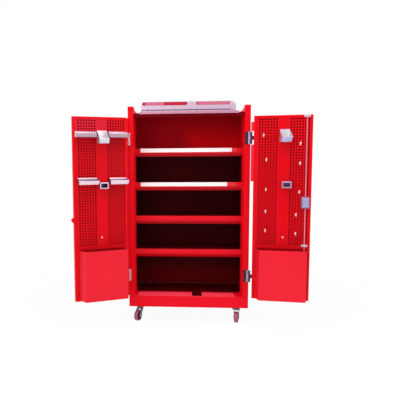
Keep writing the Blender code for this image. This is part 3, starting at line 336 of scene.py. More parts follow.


# Side walls
# Outer skins folded round the front posts, with flat liners inside them and a flat back sheet between them.
# Deep in the cabinet the red is darkened to a maroon as painted shade, less dark above the top shelf and at
# the foot, with a painted pool of light in the lower right corner above the top shelf. Near the posts the
# liners carry painted light and are brighter than the outside.
# Painted shade and light for the inside: shaded reds, a lit corner and lit liner fronts.
TOP_SHADE_RED = (0.48, 0.0020, 0.0125)
TOP_SHADE_DEEP = (0.43, 0.0018, 0.0110)
TOP_CORNER_LIGHT = (0.86, 0.002, 0.006)
FOOT_SHADE_RED = (0.12, 0.0006, 0.0020)
LINER_FRONT_LIGHT = (0.98, 0.0060, 0.0160)
THIN_GLOSS = (0.30, 0.46)
ALL_ROUND = (-1.0, 1.0)
DEEP_FROM = 0.30
CORNER_X = (0.12, 0.46)
CORNER_Z = (-0.05, 0.03)
CORNER_FADE = 0.20
TOP_FADE = 0.004
FOOT_HEIGHT = 0.09
FOOT_FADE = 0.10
PAST_EDGE = 0.1
OUTER_SKIN = 0.0005
OUTER_FADE = 0.0003

top_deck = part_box("shelf_4")[1].z
past_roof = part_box("roof_tray")[0].z + PAST_EDGE
outer_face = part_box("back_panel")[1].y - front_plane - OUTER_SKIN
deep_y = (DEEP_FROM, depth)
lit_corner = cabinet_zone(CORNER_X, deep_y, shifted(CORNER_Z, top_deck), CORNER_FADE, TOP_CORNER_LIGHT)
top_shade_paint = (TOP_SHADE_RED, TOP_SHADE_DEEP, (lit_corner,))
inside_zones = (
    cabinet_zone(ALL_ROUND, deep_y, (0.0, sill_top + FOOT_HEIGHT), FOOT_FADE, FOOT_SHADE_RED),
    cabinet_zone(ALL_ROUND, (0.0, depth), (top_deck, past_roof), TOP_FADE, top_shade_paint),
    cabinet_zone(ALL_ROUND, (-PAST_EDGE, DARK_FROM - DARK_FADE), (0.0, past_roof), DARK_FADE, LINER_FRONT_LIGHT),
    cabinet_zone(ALL_ROUND, (outer_face, depth + PAST_EDGE), (0.0, past_roof), OUTER_FADE, PAINT_RED),
)
CARCASS_RED = powder_coat("carcass_red", PAINT_RED, PAINT_DEEP)
# The inside's base colour is painted shade, with the zones above laid over it.
INTERIOR_SHADE = powder_coat("interior_painted_shade", INSIDE_SHADE_RED, INSIDE_SHADE_DEEP, THIN_GLOSS, DULL_SHINE, inside_zones)
for wall in ("left_side_panel", "right_side_panel"):
    dress(wall, CARCASS_RED)
for wall in ("left_side_liner", "right_side_liner", "back_panel"):
    dress(wall, INTERIOR_SHADE)


# Roof
# A recessed tray of the same red sheet, rounded caps on the front corners, a channel over the doors
# darkened with painted shade, and a zinc-plated angle along the front edge, tinted pink as a painted
# reflection of the red.
ZINC_PALE = (0.64, 0.55, 0.62)
ZINC_GREY = (0.52, 0.45, 0.53)
# Painted reflection: the trim's pink stands in for the red that its zinc mirrors.
TRIM_REFLECTION_PALE = (0.54, 0.24, 0.33)
TRIM_REFLECTION_GREY = (0.46, 0.20, 0.29)
# Painted shade: the channel's dark red stands in for the shade under the roof's edge.
HEADER_SHADE_RED = (0.160, 0.0008, 0.0045)
HEADER_SHADE_DEEP = (0.130, 0.0006, 0.0035)
SPANGLE_SCALE = 60.0
SPANGLE_TONES = (0.25, 0.75)
SPANGLE_GREYS = (0.2, 0.8)
TRIM_METAL = 0.8
ROLLING_NOISE = {"scale": 40.0, "detail": 4.0}
ROLLING_STRETCH = (1.0, 1.0, 30.0)
ZINC_GLOSS = (0.30, 0.46)
ZINC_RELIEF = 0.00005


def zinc_group():
    """Faint crystals of zinc plate and fine rolling lines."""
    inputs = {"Spangle Scale": SPANGLE_SCALE, "Gloss Low": ZINC_GLOSS[0], "Gloss High": ZINC_GLOSS[1]}
    group, given, made = shader_group("zinc_plate", inputs, ("Tone", "Roughness", "Height"))
    spangle = {"Vector": given["Position"], "Scale": given["Spangle Scale"]}
    crystals = add(group, "ShaderNodeTexVoronoi", named=spangle).outputs["Color"]
    grey = add(group, "ShaderNodeRGBToBW", crystals).outputs["Val"]
    rolled = {"Vector": given["Position"], "Scale": ROLLING_STRETCH}
    stretched = add(group, "ShaderNodeMapping", named=rolled).outputs["Vector"]
    lines = noise(group, stretched, **ROLLING_NOISE)
    put(group, made["Tone"], spread(group, grey, *SPANGLE_TONES, *SPANGLE_GREYS))
    put(group, made["Roughness"], spread(group, lines, given["Gloss Low"], given["Gloss High"]))
    put(group, made["Height"], lines)
    return group


ZINC_PLATE = zinc_group()


def zinc_plated(name, pale, grey, metallic=0.9, zones=(), place=None):
    """Plated sheet: the less metallic, the more its own colour shows."""
    made, _, shader = coated(name, ZINC_PLATE, {}, pale, grey, ZINC_RELIEF, zones, place)
    shader.inputs["Metallic"].default_value = metallic
    return made


BRIGHT_ZINC = zinc_plated("bright_zinc", ZINC_PALE, ZINC_GREY)
for roof_piece in ("roof_tray", "left_corner_cap", "right_corner_cap"):
    dress(roof_piece, CARCASS_RED)
dress("header_channel", powder_coat("header_painted_shade", HEADER_SHADE_RED, HEADER_SHADE_DEEP, shine=DULL_SHINE))
dress("roof_front_trim", zinc_plated("trim_zinc_painted_reflection", TRIM_REFLECTION_PALE, TRIM_REFLECTION_GREY, TRIM_METAL))


# Gallery
# A slotted zinc sheet that stands at the back of the roof, with two plain red bands riveted along its top,
# which carry painted highlights. A dark line of painted shade runs along its slots, and a dark strip behind
# them is painted shade too.
GALLERY_PALE = (0.57, 0.48, 0.60)
GALLERY_GREY = (0.48, 0.40, 0.51)
# Painted shade: a dark line along the slot row.
SLOT_SHADE = (0.15, 0.11, 0.20)
SLOT_X = (-0.42, 0.40)
SLOT_Z = (0.0625, 0.0695)
FACE_Y = (-0.01, 0.01)
BAND_SPANS = ((-0.418, -0.006), (0.072, 0.374))
BAND_Y = (-0.0012, 0.0)
BAND_Z = (-0.034, -0.004)
BAND_ROUND = 0.0145
BAND_STEPS = 6
BAND_RED = (0.40, 0.018, 0.045)
BAND_DEEP = (0.35, 0.013, 0.033)
# Painted highlights: pink patches on the red bands.
BAND_HIGHLIGHT = (0.47, 0.155, 0.235)
PINK_SPANS = ((-0.380, -0.225), (0.095, 0.360))
PINK_FADE = 0.012
RICH_SHINE = 0.15
BACKING_X = (-0.385, 0.385)
BACKING_Y = (0.0017, 0.0027)
BACKING_Z = (0.056, 0.076)
BACKING_ROUND = 0.004
# Painted shade: the dark strip behind the slots stands in for the shade seen through them.
BACKING_SHADE = (0.055, 0.030, 0.075)
BACKING_SHADE_DEEP = (0.042, 0.023, 0.060)
BACKING_GLOSS = (0.5, 0.7)
BACKING_SHINE = 0.02
THIN_EDGE = 0.0003


def rounded_bar(bm, x_span, y_span, z_span, radius):
    """Flat bar with round corners, facing the front."""
    left, right = inset(x_span, radius)
    low, high = inset(z_span, radius)
    front, back = y_span
    outline = []
    for cx, cz, start in ((right, low, -90.0), (right, high, 0.0), (left, high, 90.0), (left, low, 180.0)):
        for i in range(BAND_STEPS + 1):
            turn = math.radians(start + 90.0 * i / BAND_STEPS)
            outline.append((cx + radius * math.cos(turn), front, cz + radius * math.sin(turn)))
    face = bm.faces.new([bm.verts.new(point) for point in outline])
    pushed = bmesh.ops.extrude_face_region(bm, geom=[face])["geom"]
    moved = [item for item in pushed if isinstance(item, bmesh.types.BMVert)]
    bmesh.ops.translate(bm, verts=moved, vec=(0.0, back - front, 0.0))
    bmesh.ops.recalc_face_normals(bm, faces=bm.faces[:])


gallery_low, gallery_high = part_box("gallery_panel")
face_y = shifted(FACE_Y, gallery_low.y - front_plane)
slot_shade_line = cabinet_zone(SLOT_X, face_y, shifted(SLOT_Z, gallery_low.z), CRISP, SLOT_SHADE)
gallery_zinc = zinc_plated("gallery_zinc", GALLERY_PALE, GALLERY_GREY, zones=(slot_shade_line,))
dress("gallery_panel", gallery_zinc, THIN_EDGE)

bars = bmesh.new()
band_y = shifted(BAND_Y, gallery_low.y)
band_z = shifted(BAND_Z, gallery_high.z)
for span in BAND_SPANS:
    rounded_bar(bars, shifted(span, cabinet_middle), band_y, band_z, BAND_ROUND)
gallery_z = (gallery_low.z, gallery_high.z)
band_highlights = [cabinet_zone(span, face_y, gallery_z, PINK_FADE, BAND_HIGHLIGHT) for span in PINK_SPANS]
band_coat = powder_coat("band_red", BAND_RED, BAND_DEEP, shine=RICH_SHINE, zones=band_highlights)
add_mesh(mesh_of("gallery_bands", bars, band_coat), "cabinet")

backing = bmesh.new()
backing_y = shifted(BACKING_Y, gallery_low.y)
backing_z = shifted(BACKING_Z, gallery_low.z)
rounded_bar(backing, shifted(BACKING_X, cabinet_middle), backing_y, backing_z, BACKING_ROUND)
backing_shade_coat = powder_coat("backing_painted_shade", BACKING_SHADE, BACKING_SHADE_DEEP, BACKING_GLOSS, BACKING_SHINE)
add_mesh(mesh_of("slot_shade_backing", backing, backing_shade_coat), "cabinet")


# Shelves
# Folded decks with a deep front lip and a sloped return under it, hung between the liners by end tabs.
# The two upper lips carry white label strips that stop short of the right end.
LIP_RED = (0.72, 0.008, 0.020)
LIP_DEEP = (0.66, 0.005, 0.014)
LIP_SHINE = 0.10
LIP_DEPTH = 0.004
# Painted shade: the darker red on the sloped return under each lip.
RETURN_SHADE_RED = (0.31, 0.002, 0.005)
RETURN_DEPTH = 0.026
RETURN_LAP = 0.002
RETURN_RISE = 0.004
RETURN_FADE = 0.027
UNDERSIDE_DROP = 0.0010
UNDERSIDE_FADE = 0.004
DECK_DROP = 0.0025
TOP_LEVEL = 4
PROUD = 0.01
CARD_WHITE = (0.95, 0.92, 0.93)
CARD_GREY = (0.90, 0.86, 0.88)
CARD_GLOSS = (0.35, 0.55)
CARD_SHINE = 0.5
CARD_EDGE = 0.0002
CARD_FADE = 0.001
NO_PEEL = (PAINT_PEEL[0], 0.0)
LABEL_RED_END = {"label_strip_upper": 0.041, "label_strip_lower": 0.079}

# Behind each lip, the zones paint shade on the return, the underside and the deck.
for level in range(1, TOP_LEVEL + 1):
    shelf = "shelf_" + str(level)
    low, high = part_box(shelf)
    return_end = low.y + RETURN_DEPTH
    slope_shade = (
        (low.x, low.y - PROUD, low.z - PROUD),
        (high.x, return_end + RETURN_LAP, low.z + RETURN_RISE),
        RETURN_FADE,
        RETURN_SHADE_RED,
    )
    underside = (
        (low.x, return_end, low.z),
        (high.x, high.y, high.z - UNDERSIDE_DROP),
        UNDERSIDE_FADE,
        INSIDE_SHADE_RED,
    )
    deck = (
        (low.x, low.y + LIP_DEPTH, high.z - DECK_DROP),
        (high.x, high.y, high.z + PROUD),
        CRISP,
        TOP_SHADE_RED if level == TOP_LEVEL else INSIDE_SHADE_RED,
    )
    shelf_zones = (slope_shade, underside, deck)
    dress(shelf, powder_coat(shelf + "_red", LIP_RED, LIP_DEEP, shine=LIP_SHINE, zones=shelf_zones))
for strip, length in LABEL_RED_END.items():
    low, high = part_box(strip)
    red_end = ((high.x - length, low.y - PROUD, low.z), tuple(high), CARD_FADE, LIP_RED)
    card = powder_coat(
        strip + "_card", CARD_WHITE, CARD_GREY, CARD_GLOSS, CARD_SHINE, zones=(red_end,), peel=NO_PEEL
    )
    dress(strip, card, CARD_EDGE)


# Hinges
# Lift-off hinges: the post leaf holds the pin, and the door leaf's knuckle turns on it. The left leaves are
# painted with the cabinet, and the right ones, with a web beside the knuckle, are dark with painted shade.
SIDES = ("left", "right")
HEIGHTS = ("lower", "upper")
PIN_X = 0.487
PIN_PROUD = 0.010
KNUCKLE_ROOM = 0.0085
DOOR_OPEN = {"left": -154.5, "right": 172.2}
# Painted light and shade: the knuckles differ by side, pink on the left as a painted reflection of the red.
KNUCKLE_LIT_SHADED_PALE = {"left": (0.66, 0.42, 0.47), "right": (0.50, 0.42, 0.54)}
KNUCKLE_LIT_SHADED_DARK = {"left": (0.50, 0.30, 0.36), "right": (0.36, 0.28, 0.40)}
KNUCKLE_METAL = 0.85
# Painted shade: this dark steel stands in for the shade at the right hinges.
DARK_STEEL_SHADE = (0.060, 0.022, 0.058)
DARK_STEEL_SHADE_DEEP = (0.045, 0.016, 0.044)
LEAF_PAINT_AND_SHADE = {"left": PAINT_RED, "right": DARK_STEEL_SHADE}
LEAF_FADE = 0.0004
ALL_HEIGHTS = (0.0, 3.0)


def door_pin(side):
    """Where a door's pin stands, how far the door is turned on it, and whether it is mirrored."""
    out = -1.0 if side == "left" else 1.0
    place = (cabinet_middle + out * PIN_X, front_plane - PIN_PROUD, 0.0)
    return place, math.radians(DOOR_OPEN[side]), -out


def hinge_finish(name, side, coat, place=None):
    """Bare plated knuckles, the leaf in its coat's colour inside the coat's zone: red, or painted shade."""
    tones = (KNUCKLE_LIT_SHADED_PALE[side], KNUCKLE_LIT_SHADED_DARK[side])
    made, tree, shader = coated(name, ZINC_PLATE, {}, *tones, ZINC_RELIEF, (coat,), place)
    metallic = spread(tree, box_mask(tree, *coat[:3], place), KNUCKLE_METAL, 0.0, 0.0, 1.0)
    put(tree, shader.inputs["Metallic"], metallic)
    shader.inputs["Specular IOR Level"].default_value = PAINT_SHINE
    return made


between_pins = inset((-PIN_X, PIN_X), KNUCKLE_ROOM)
for side in SIDES:
    post_coat = cabinet_zone(between_pins, ALL_ROUND, ALL_HEIGHTS, LEAF_FADE, LEAF_PAINT_AND_SHADE[side])
    post_leaf = hinge_finish(side + "_post_leaf", side, post_coat)
    door_coat = (*zip((KNUCKLE_ROOM, 1.0), ALL_ROUND, ALL_HEIGHTS), LEAF_FADE, LEAF_PAINT_AND_SHADE[side])
    door_leaf = hinge_finish(side + "_door_leaf", side, door_coat, door_pin(side))
    for height in HEIGHTS:
        dress(side + "_hinge_post_leaf_" + height, post_leaf, THIN_EDGE)
        dress(side + "_hinge_door_leaf_" + height, door_leaf, THIN_EDGE)


# Doors
# Shallow pans of red sheet with a return flange all round, hung on the posts. Behind the punched panels
# their insides are darkened with painted shade. Each carries a deep bin of the same sheet at its foot, and
# the left one a catch tongue. Thin strips close the gaps at the hinge edges, the right ones with a painted
# highlight on their inner face, and beside the right knuckles stand dark webs of painted shade.
EDGE_FROM_PIN = 0.0365
DOOR_U = (0.0, 0.4485)
DOOR_V = (0.0, 0.035)
DOOR_SHEET = 0.0012
# Painted shade: the darker red inside the door pans.
HOLLOW_SHADE_RED = (0.38, 0.0018, 0.0060)
HOLLOW_FADE = 0.0005
BIN_RED = (0.75, 0.011, 0.028)
BIN_DEEP = (0.70, 0.009, 0.023)
BIN_SHADE = (0.30, 0.0012, 0.003)
BIN_U = {"left": (0.026, 0.378), "right": (0.057, 0.416)}
BIN_V = (0.0, 0.1168)
BIN_FLOOR = 0.0015
STRIP_U = (-0.022, 0.004)
STRIP_V = (-0.0016, -0.0001)
STRIP_OVER_LEAF_V = (-0.0062, -0.0047)
STRIP_END = 0.002
STRIP_ROUND = 0.002
LEAF_GAP = 0.003
LEAF_LAP = 0.005
RIGHT_STRIP_FROM = 1.200
RIGHT_STRIP_DROP = 0.045
# Painted highlight: the pinker red on the inner face of the right strips.
STRIP_HIGHLIGHT = (0.82, 0.030, 0.070)
PINK_SKIN = 0.0008
WEB_U = (-0.0275, -0.0110)
WEB_V = (-0.0070, -0.0054)
WEB_END = 0.001
WEB_ROUND = 0.003
WEB_METAL = 0.3

shell_low, shell_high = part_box("left_door_shell")
door_bottom = shell_low.z
door_top = shell_high.z


def door_frame(side):
    """Matrix from door coordinates to the cabinet's frame: u from the hinge edge, v inwards, z up."""
    place, turn, mirror = door_pin(side)
    seat = Matrix.Translation((EDGE_FROM_PIN, PIN_PROUD, 0.0))
    flip = Matrix.Diagonal((mirror, 1.0, 1.0, 1.0))
    return Matrix.Translation(place) @ Matrix.Rotation(turn, 4, "Z") @ flip @ seat


def door_zone(u_span, v_span, z_span, soft, colour):
    """Zone of a door's coat, given in door coordinates."""
    low, high = zip(shifted(u_span, EDGE_FROM_PIN), shifted(v_span, PIN_PROUD), z_span)
    return low, high, soft, colour


def hang(mesh, side):
    """Shows a mesh made in door coordinates on its door, and turns the mirrored one's faces back."""
    mesh.transform(door_frame(side))
    if side == "right":
        mesh.flip_normals()
    return add_mesh(mesh, side + "_door")


for side in SIDES:
    pin = door_pin(side)
    hollow_spans = [inset(span, DOOR_SHEET) for span in (DOOR_U, DOOR_V, (door_bottom, door_top))]
    hollow = door_zone(*hollow_spans, HOLLOW_FADE, HOLLOW_SHADE_RED)
    shell_red = powder_coat(side + "_shell_red", PAINT_RED, PAINT_DEEP, zones=(hollow,), place=pin)
    dress(side + "_door_shell", shell_red)
    bin_low, bin_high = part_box(side + "_door_bin")
    bin_z = (bin_low.z + BIN_FLOOR, bin_high.z + PROUD)
    shade = door_zone(BIN_U[side], BIN_V, bin_z, HOLLOW_FADE, BIN_SHADE)
    bin_red = powder_coat(side + "_bin_red", BIN_RED, BIN_DEEP, shine=RICH_SHINE, zones=(shade,), place=pin)
    dress(side + "_door_bin", bin_red)
dress("left_catch_tongue", CARCASS_RED)

left_strip = bmesh.new()
right_strip = bmesh.new()
shade_webs = bmesh.new()
strip_from = door_bottom + STRIP_END
for height in HEIGHTS:
    leaf_low, leaf_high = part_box("left_hinge_post_leaf_" + height)
    leaf_z = (leaf_low.z, leaf_high.z)
    rounded_bar(left_strip, STRIP_U, STRIP_V, (strip_from, leaf_low.z - LEAF_GAP), STRIP_ROUND)
    rounded_bar(left_strip, STRIP_U, STRIP_OVER_LEAF_V, inset(leaf_z, -LEAF_LAP), STRIP_ROUND)
    rounded_bar(shade_webs, WEB_U, WEB_V, inset(leaf_z, WEB_END), WEB_ROUND)
    strip_from = leaf_high.z + LEAF_GAP
rounded_bar(left_strip, STRIP_U, STRIP_V, (strip_from, door_top - STRIP_END), STRIP_ROUND)
rounded_bar(right_strip, STRIP_U, STRIP_V, (RIGHT_STRIP_FROM, leaf_low.z - LEAF_GAP), STRIP_ROUND)
rounded_bar(right_strip, STRIP_U, STRIP_V, (strip_from, door_top - RIGHT_STRIP_DROP), STRIP_ROUND)
hang(mesh_of("left_edge_cover", left_strip, CARCASS_RED), "left")
# The right strips' inner face takes a painted highlight.
pink_v = (STRIP_V[1] - PINK_SKIN, 1.0)
inner_face_highlight = door_zone(ALL_ROUND, pink_v, ALL_HEIGHTS, OUTER_FADE, STRIP_HIGHLIGHT)
strip_highlight_coat = powder_coat("cover_painted_highlight", PAINT_RED, PAINT_DEEP, zones=(inner_face_highlight,), place=door_pin("right"))
hang(mesh_of("right_edge_cover", right_strip, strip_highlight_coat), "right")
# Painted shade: the dark webs stand where there is only shade beside the right knuckles.
WEB_SHADE_STEEL = zinc_plated("web_painted_shade", DARK_STEEL_SHADE, DARK_STEEL_SHADE_DEEP, WEB_METAL)
hang(mesh_of("right_hinge_shade_webs", shade_webs, WEB_SHADE_STEEL), "right")


# Pegboards
# Panels of red sheet punched with square holes in two fields, left plain along the middle and behind the
# bins, and set behind the flange of each door.
HOLE_PITCH = 0.022
HOLE_SIZE = 0.0120
FIELD_COLUMNS = 7
FIELD_ROWS = 46
FIELD_START = {"left": 0.027, "right": 0.045}
FIELD_BAND = 0.087
PANEL_MARGIN = 0.0048
PANEL_FACE = 0.0332
PANEL_THICK = 0.0015
TOP_ROW_DROP = 0.030
PANEL_RED = (0.68, 0.0022, 0.0085)
PANEL_DEEP = (0.62, 0.0018, 0.0070)
# Painted shade: the punched fields are a little darker than the plain band, for the shade in their holes.
FIELD_SHADE_RED = (0.635, 0.0026, 0.0085)
SHEEN_RED = (0.62, 0.012, 0.029)
SHEEN_FROM = 0.18
SHEEN_FADE = 0.03
BIN_BACK = {"left": (0.026, 0.411), "right": (0.028, 0.426)}
BIN_LAP = 0.002
BIN_FADE = 0.004
MERGE_GAP = 0.00001
WIRE_SIDES = 8


class TreeBuilder:
    """Geometry Nodes tree that grows a mesh in one material, with named inputs for its sizes."""

    def __init__(self, name, **inputs):
        self.tree = bpy.data.node_groups.new(name, "GeometryNodeTree")
        face = self.tree.interface
        face.new_socket("Geometry", in_out="OUTPUT", socket_type="NodeSocketGeometry")
        self.sockets = {}
        for kind, labels in {"Geometry": ("Geometry",), **inputs, "Material": ("Material",)}.items():
            for label in labels:
                self.sockets[label] = face.new_socket(label, in_out="INPUT", socket_type="NodeSocket" + kind)
        self.given = self.node("NodeGroupInput").outputs

    def node(self, kind, *values, **rest):
        return add(self.tree, kind, *values, **rest)

    def add(self, kind, *values, **rest):
        """Adds a node and gives its first output."""
        return self.node(kind, *values, **rest).outputs[0]

    def math(self, operation, first, second=0.0):
        return reckon(self.tree, operation, first, second)

    def point(self, x, y, z):
        return self.add("ShaderNodeCombineXYZ", x, y, z)

    def join(self, *parts):
        joined = self.node("GeometryNodeJoinGeometry")
        for part in parts:
            put(self.tree, joined.inputs[0], part)
        return joined.outputs[0]

    def wire(self, path, radius):
        """Round wire along a path, with closed ends."""
        section = {"Resolution": WIRE_SIDES, "Radius": radius}
        ring = self.add("GeometryNodeCurvePrimitiveCircle", named=section)
        tube = {"Curve": path, "Profile Curve": ring, "Fill Caps": True}
        return self.add("GeometryNodeCurveToMesh", named=tube)

    def end(self, geometry):
        """Makes copies real and sets the material."""
        whole = self.add("GeometryNodeRealizeInstances", geometry)
        finish = {"Geometry": whole, "Material": self.given["Material"]}
        self.node("NodeGroupOutput", self.add("GeometryNodeSetMaterial", named=finish))
        return self


def punched_sheet_tree():
    """A sheet with square holes in two fields, in its own plane: u along X and height along Z."""
    b = TreeBuilder(
        "punched_sheet",
        Int=("Columns", "Rows"),
        Float=("Pitch", "Hole", "Start U", "Start Z", "Band", "Thickness"),
        Vector=("Low", "High"),
    )
    given = b.given

    def line_place(line, count, start, low, high, field):
        """Place of a grid line: an edge of the sheet or of a hole, past the plain band after a field."""
        hole = b.math("FLOOR", b.math("DIVIDE", b.math("SUBTRACT", line, 1.0), 2.0))
        side = b.math("MODULO", b.math("SUBTRACT", line, 1.0), 2.0)
        place = b.math("ADD", start, b.math("MULTIPLY", hole, given["Pitch"]))
        place = b.math("ADD", place, b.math("MULTIPLY", b.math("SUBTRACT", side, 0.5), given["Hole"]))
        if field is not None:
            past = b.math("GREATER_THAN", hole, b.math("SUBTRACT", field, 0.5))
            place = b.math("ADD", place, b.math("MULTIPLY", past, given["Band"]))
        first = b.math("LESS_THAN", line, 0.5)
        last = b.math("GREATER_THAN", line, b.math("ADD", b.math("MULTIPLY", count, 2.0), 0.5))
        inner = b.math("SUBTRACT", 1.0, b.math("ADD", first, last))
        ends = b.math("ADD", b.math("MULTIPLY", first, low), b.math("MULTIPLY", last, high))
        return b.math("ADD", b.math("MULTIPLY", inner, place), ends)

    def column_and_row(index, length):
        """Column and row of an item in a grid that counts up its columns."""
        column = b.math("FLOOR", b.math("DIVIDE", b.math("ADD", index, 0.5), length))
        return column, b.math("SUBTRACT", index, b.math("MULTIPLY", column, length))

    columns = b.math("MULTIPLY", given["Columns"], 2.0)
    lines_u = b.math("ADD", b.math("MULTIPLY", columns, 2.0), 2.0)
    lines_z = b.math("ADD", b.math("MULTIPLY", given["Rows"], 2.0), 2.0)
    grid = b.add("GeometryNodeMeshGrid", 1.0, 1.0, lines_u, lines_z)
    index = b.add("GeometryNodeInputIndex")
    column, row = column_and_row(index, lines_z)
    low = b.node("ShaderNodeSeparateXYZ", given["Low"]).outputs
    high = b.node("ShaderNodeSeparateXYZ", given["High"]).outputs
    u = line_place(column, columns, given["Start U"], low["X"], high["X"], given["Columns"])
    z = line_place(row, given["Rows"], given["Start Z"], low["Z"], high["Z"], None)
    laid = b.add("GeometryNodeSetPosition", named={"Geometry": grid, "Position": b.point(u, 0.0, z)})
    face_u, face_z = column_and_row(index, b.math("SUBTRACT", lines_z, 1.0))
    odd = b.math("MULTIPLY", b.math("MODULO", face_u, 2.0), b.math("MODULO", face_z, 2.0))
    hole = b.math("GREATER_THAN", odd, 0.5)
    punched = b.add("GeometryNodeDeleteGeometry", laid, hole, domain="FACE")
    wall = {"Mesh": punched, "Offset Scale": given["Thickness"], "Individual": False}
    thick = b.add("GeometryNodeExtrudeMesh", named=wall, mode="FACES")
    shell = b.join(thick, b.add("GeometryNodeFlipFaces", punched))
    return b.end(b.add("GeometryNodeMergeByDistance", named={"Geometry": shell, "Distance": MERGE_GAP}))


def grown(name, builder, values, source=None):
    """Runs a Geometry Nodes tree and keeps its result as a plain mesh."""
    mesh = source or bpy.data.meshes.new(name + "_seed")
    holder = bpy.data.objects.new(name + "_seed", mesh)
    bpy.context.scene.collection.objects.link(holder)
    grow = holder.modifiers.new("grow", "NODES")
    grow.node_group = builder.tree
    for label, value in values.items():
        grow[builder.sockets[label].identifier] = value
    graph = bpy.context.evaluated_depsgraph_get()
    kept = bpy.data.meshes.new_from_object(holder.evaluated_get(graph))
    kept.name = name
    bpy.data.objects.remove(holder)
    return kept


bin_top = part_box("left_door_bin")[1].z
above_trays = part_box("tray_upper_free")[1].z
top_row = door_top - TOP_ROW_DROP
low_row = top_row - (FIELD_ROWS - 1) * HOLE_PITCH
field_width = FIELD_COLUMNS * HOLE_PITCH
panel_u = inset(DOOR_U, PANEL_MARGIN)
panel_z = inset((door_bottom, door_top), PANEL_MARGIN)
PUNCHED_SHEET = punched_sheet_tree()
for side in SIDES:
    zones = [door_zone(BIN_BACK[side], DOOR_V, (0.0, bin_top + BIN_LAP), BIN_FADE, BIN_SHADE)]
    for start in (FIELD_START[side], FIELD_START[side] + field_width + FIELD_BAND):
        field_u = shifted((0.0, field_width), start - HOLE_PITCH / 2)
        zones.append(door_zone(field_u, DOOR_V, (low_row, top_row), HOLE_PITCH / 2, FIELD_SHADE_RED))
    if side == "left":
        sheen_u = (SHEEN_FROM, DOOR_U[1])
        zones.append(door_zone(sheen_u, DOOR_V, (above_trays, door_top), SHEEN_FADE, SHEEN_RED))
    panel_coat = powder_coat(
        side + "_panel_red", PANEL_RED, PANEL_DEEP, THIN_GLOSS, zones=zones, place=door_pin(side)
    )
    panel_sizes = {
        "Columns": FIELD_COLUMNS,
        "Rows": FIELD_ROWS,
        "Pitch": HOLE_PITCH,
        "Hole": HOLE_SIZE,
        "Start U": FIELD_START[side],
        "Start Z": low_row,
        "Band": FIELD_BAND,
        "Low": (panel_u[0], 0.0, panel_z[0]),
        "High": (panel_u[1], 0.0, panel_z[1]),
        "Thickness": PANEL_THICK,
        "Material": panel_coat,
    }
    panel = grown(side + "_punched_panel", PUNCHED_SHEET, panel_sizes)
    panel.transform(Matrix.Translation((0.0, PANEL_FACE, 0.0)))
    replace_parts(hang(panel, side), side + "_pegboard")


# Trays and holders
# Zinc sheet folded into open pockets that hang on the doors for small tools, cans and keys: long shallow
# trays and scoops with a rolled rim and a low front lip, and square boxes with a mouth of painted shade.
# Their zinc comes in lit and shaded copies from place to place, tinted pink as a painted reflection of the
# red doors, with painted light inside the upper trays and painted shade inside the lower trays and scoops.
POCKETS = {
    "tray_upper_free": {"back": (0.257, 0.434), "front": (0.275, 0.436), "heights": (0.029, 0.047)},
    "tray_upper_hinge": {"back": (0.0105, 0.158), "front": (0.0105, 0.167), "heights": (0.030, 0.048)},
    "tray_lower_free": {"back": (0.260, 0.414), "front": (0.254, 0.416), "heights": (0.028, 0.052)},
    "tray_lower_hinge": {"back": (0.0105, 0.154), "front": (0.0105, 0.160), "heights": (0.031, 0.050)},
    "left_slant_holder": {"back": (0.171, 0.250), "front": (0.173, 0.251), "heights": (0.036, 0.101)},
    "right_slant_holder": {"back": (0.199, 0.273), "front": (0.2155, 0.2925), "heights": (0.036, 0.101)},
}
# Painted light, shade and reflection: lit and shaded copies of one pink-tinted zinc, and their insides.
POCKET_LIT_SHADED_TONES = {
    "tray_upper": {"pale": (0.56, 0.41, 0.49), "grey": (0.47, 0.34, 0.42), "inside": (0.84, 0.70, 0.77)},
    "tray_lower": {"pale": (0.90, 0.74, 0.84), "grey": (0.82, 0.66, 0.76), "inside": (0.30, 0.19, 0.27)},
    "left_slant": {"pale": (0.74, 0.71, 0.79), "grey": (0.68, 0.64, 0.72), "inside": (0.62, 0.56, 0.60)},
    "right_slant": {"pale": (0.50, 0.46, 0.72), "grey": (0.43, 0.39, 0.64), "inside": (0.62, 0.56, 0.60)},
}
TRAY_SEAT = 0.0353
TRAY_REACH = (0.065, 0.077)
SLANT_SEAT = 0.0335
SLANT_REACH = (0.076, 0.088)
POCKET_METAL = 0.7
HOLDER_SHEET = 0.0010
FOLD_ROUND = 0.0022
FOLD_STEPS = 3
SHARP_TURN = 35.0
RIM_WIRE = 0.0011
BRIGHT_RIM = 0.008
INSIDE_U = (-0.1, 0.6)
INSIDE_LIFT = 0.002
INSIDE_SHORT = 0.004
SQUARE_MIDDLE = {"left": 0.2065, "right": 0.2575}
# Painted light and shade: lit and shaded copies of one zinc, and a mouth of painted shade.
SQUARE_LIT_SHADED_PALE = {"left": (0.54, 0.39, 0.47), "right": (0.44, 0.30, 0.44)}
SQUARE_LIT_SHADED_GREY = {"left": (0.45, 0.32, 0.39), "right": (0.38, 0.25, 0.38)}
MOUTH_SHADE = {"left": (0.035, 0.022, 0.055), "right": (0.110, 0.055, 0.120)}
MOUTH_U = (-0.0348, 0.0348)
MOUTH_V = (0.0, 0.0434)
MOUTH_Z = (0.0014, 0.0516)
MOUTH_FADE = 0.0008


def rolled_rim_tree():
    """Wire rolled into the edges of a mesh."""
    b = TreeBuilder("rolled_rim", Float=("Wire",))
    path = b.add("GeometryNodeMeshToCurve", b.given["Geometry"])
    return b.end(b.add("GeometryNodeSetShadeSmooth", b.wire(path, b.given["Wire"])))


ROLLED_RIM = rolled_rim_tree()


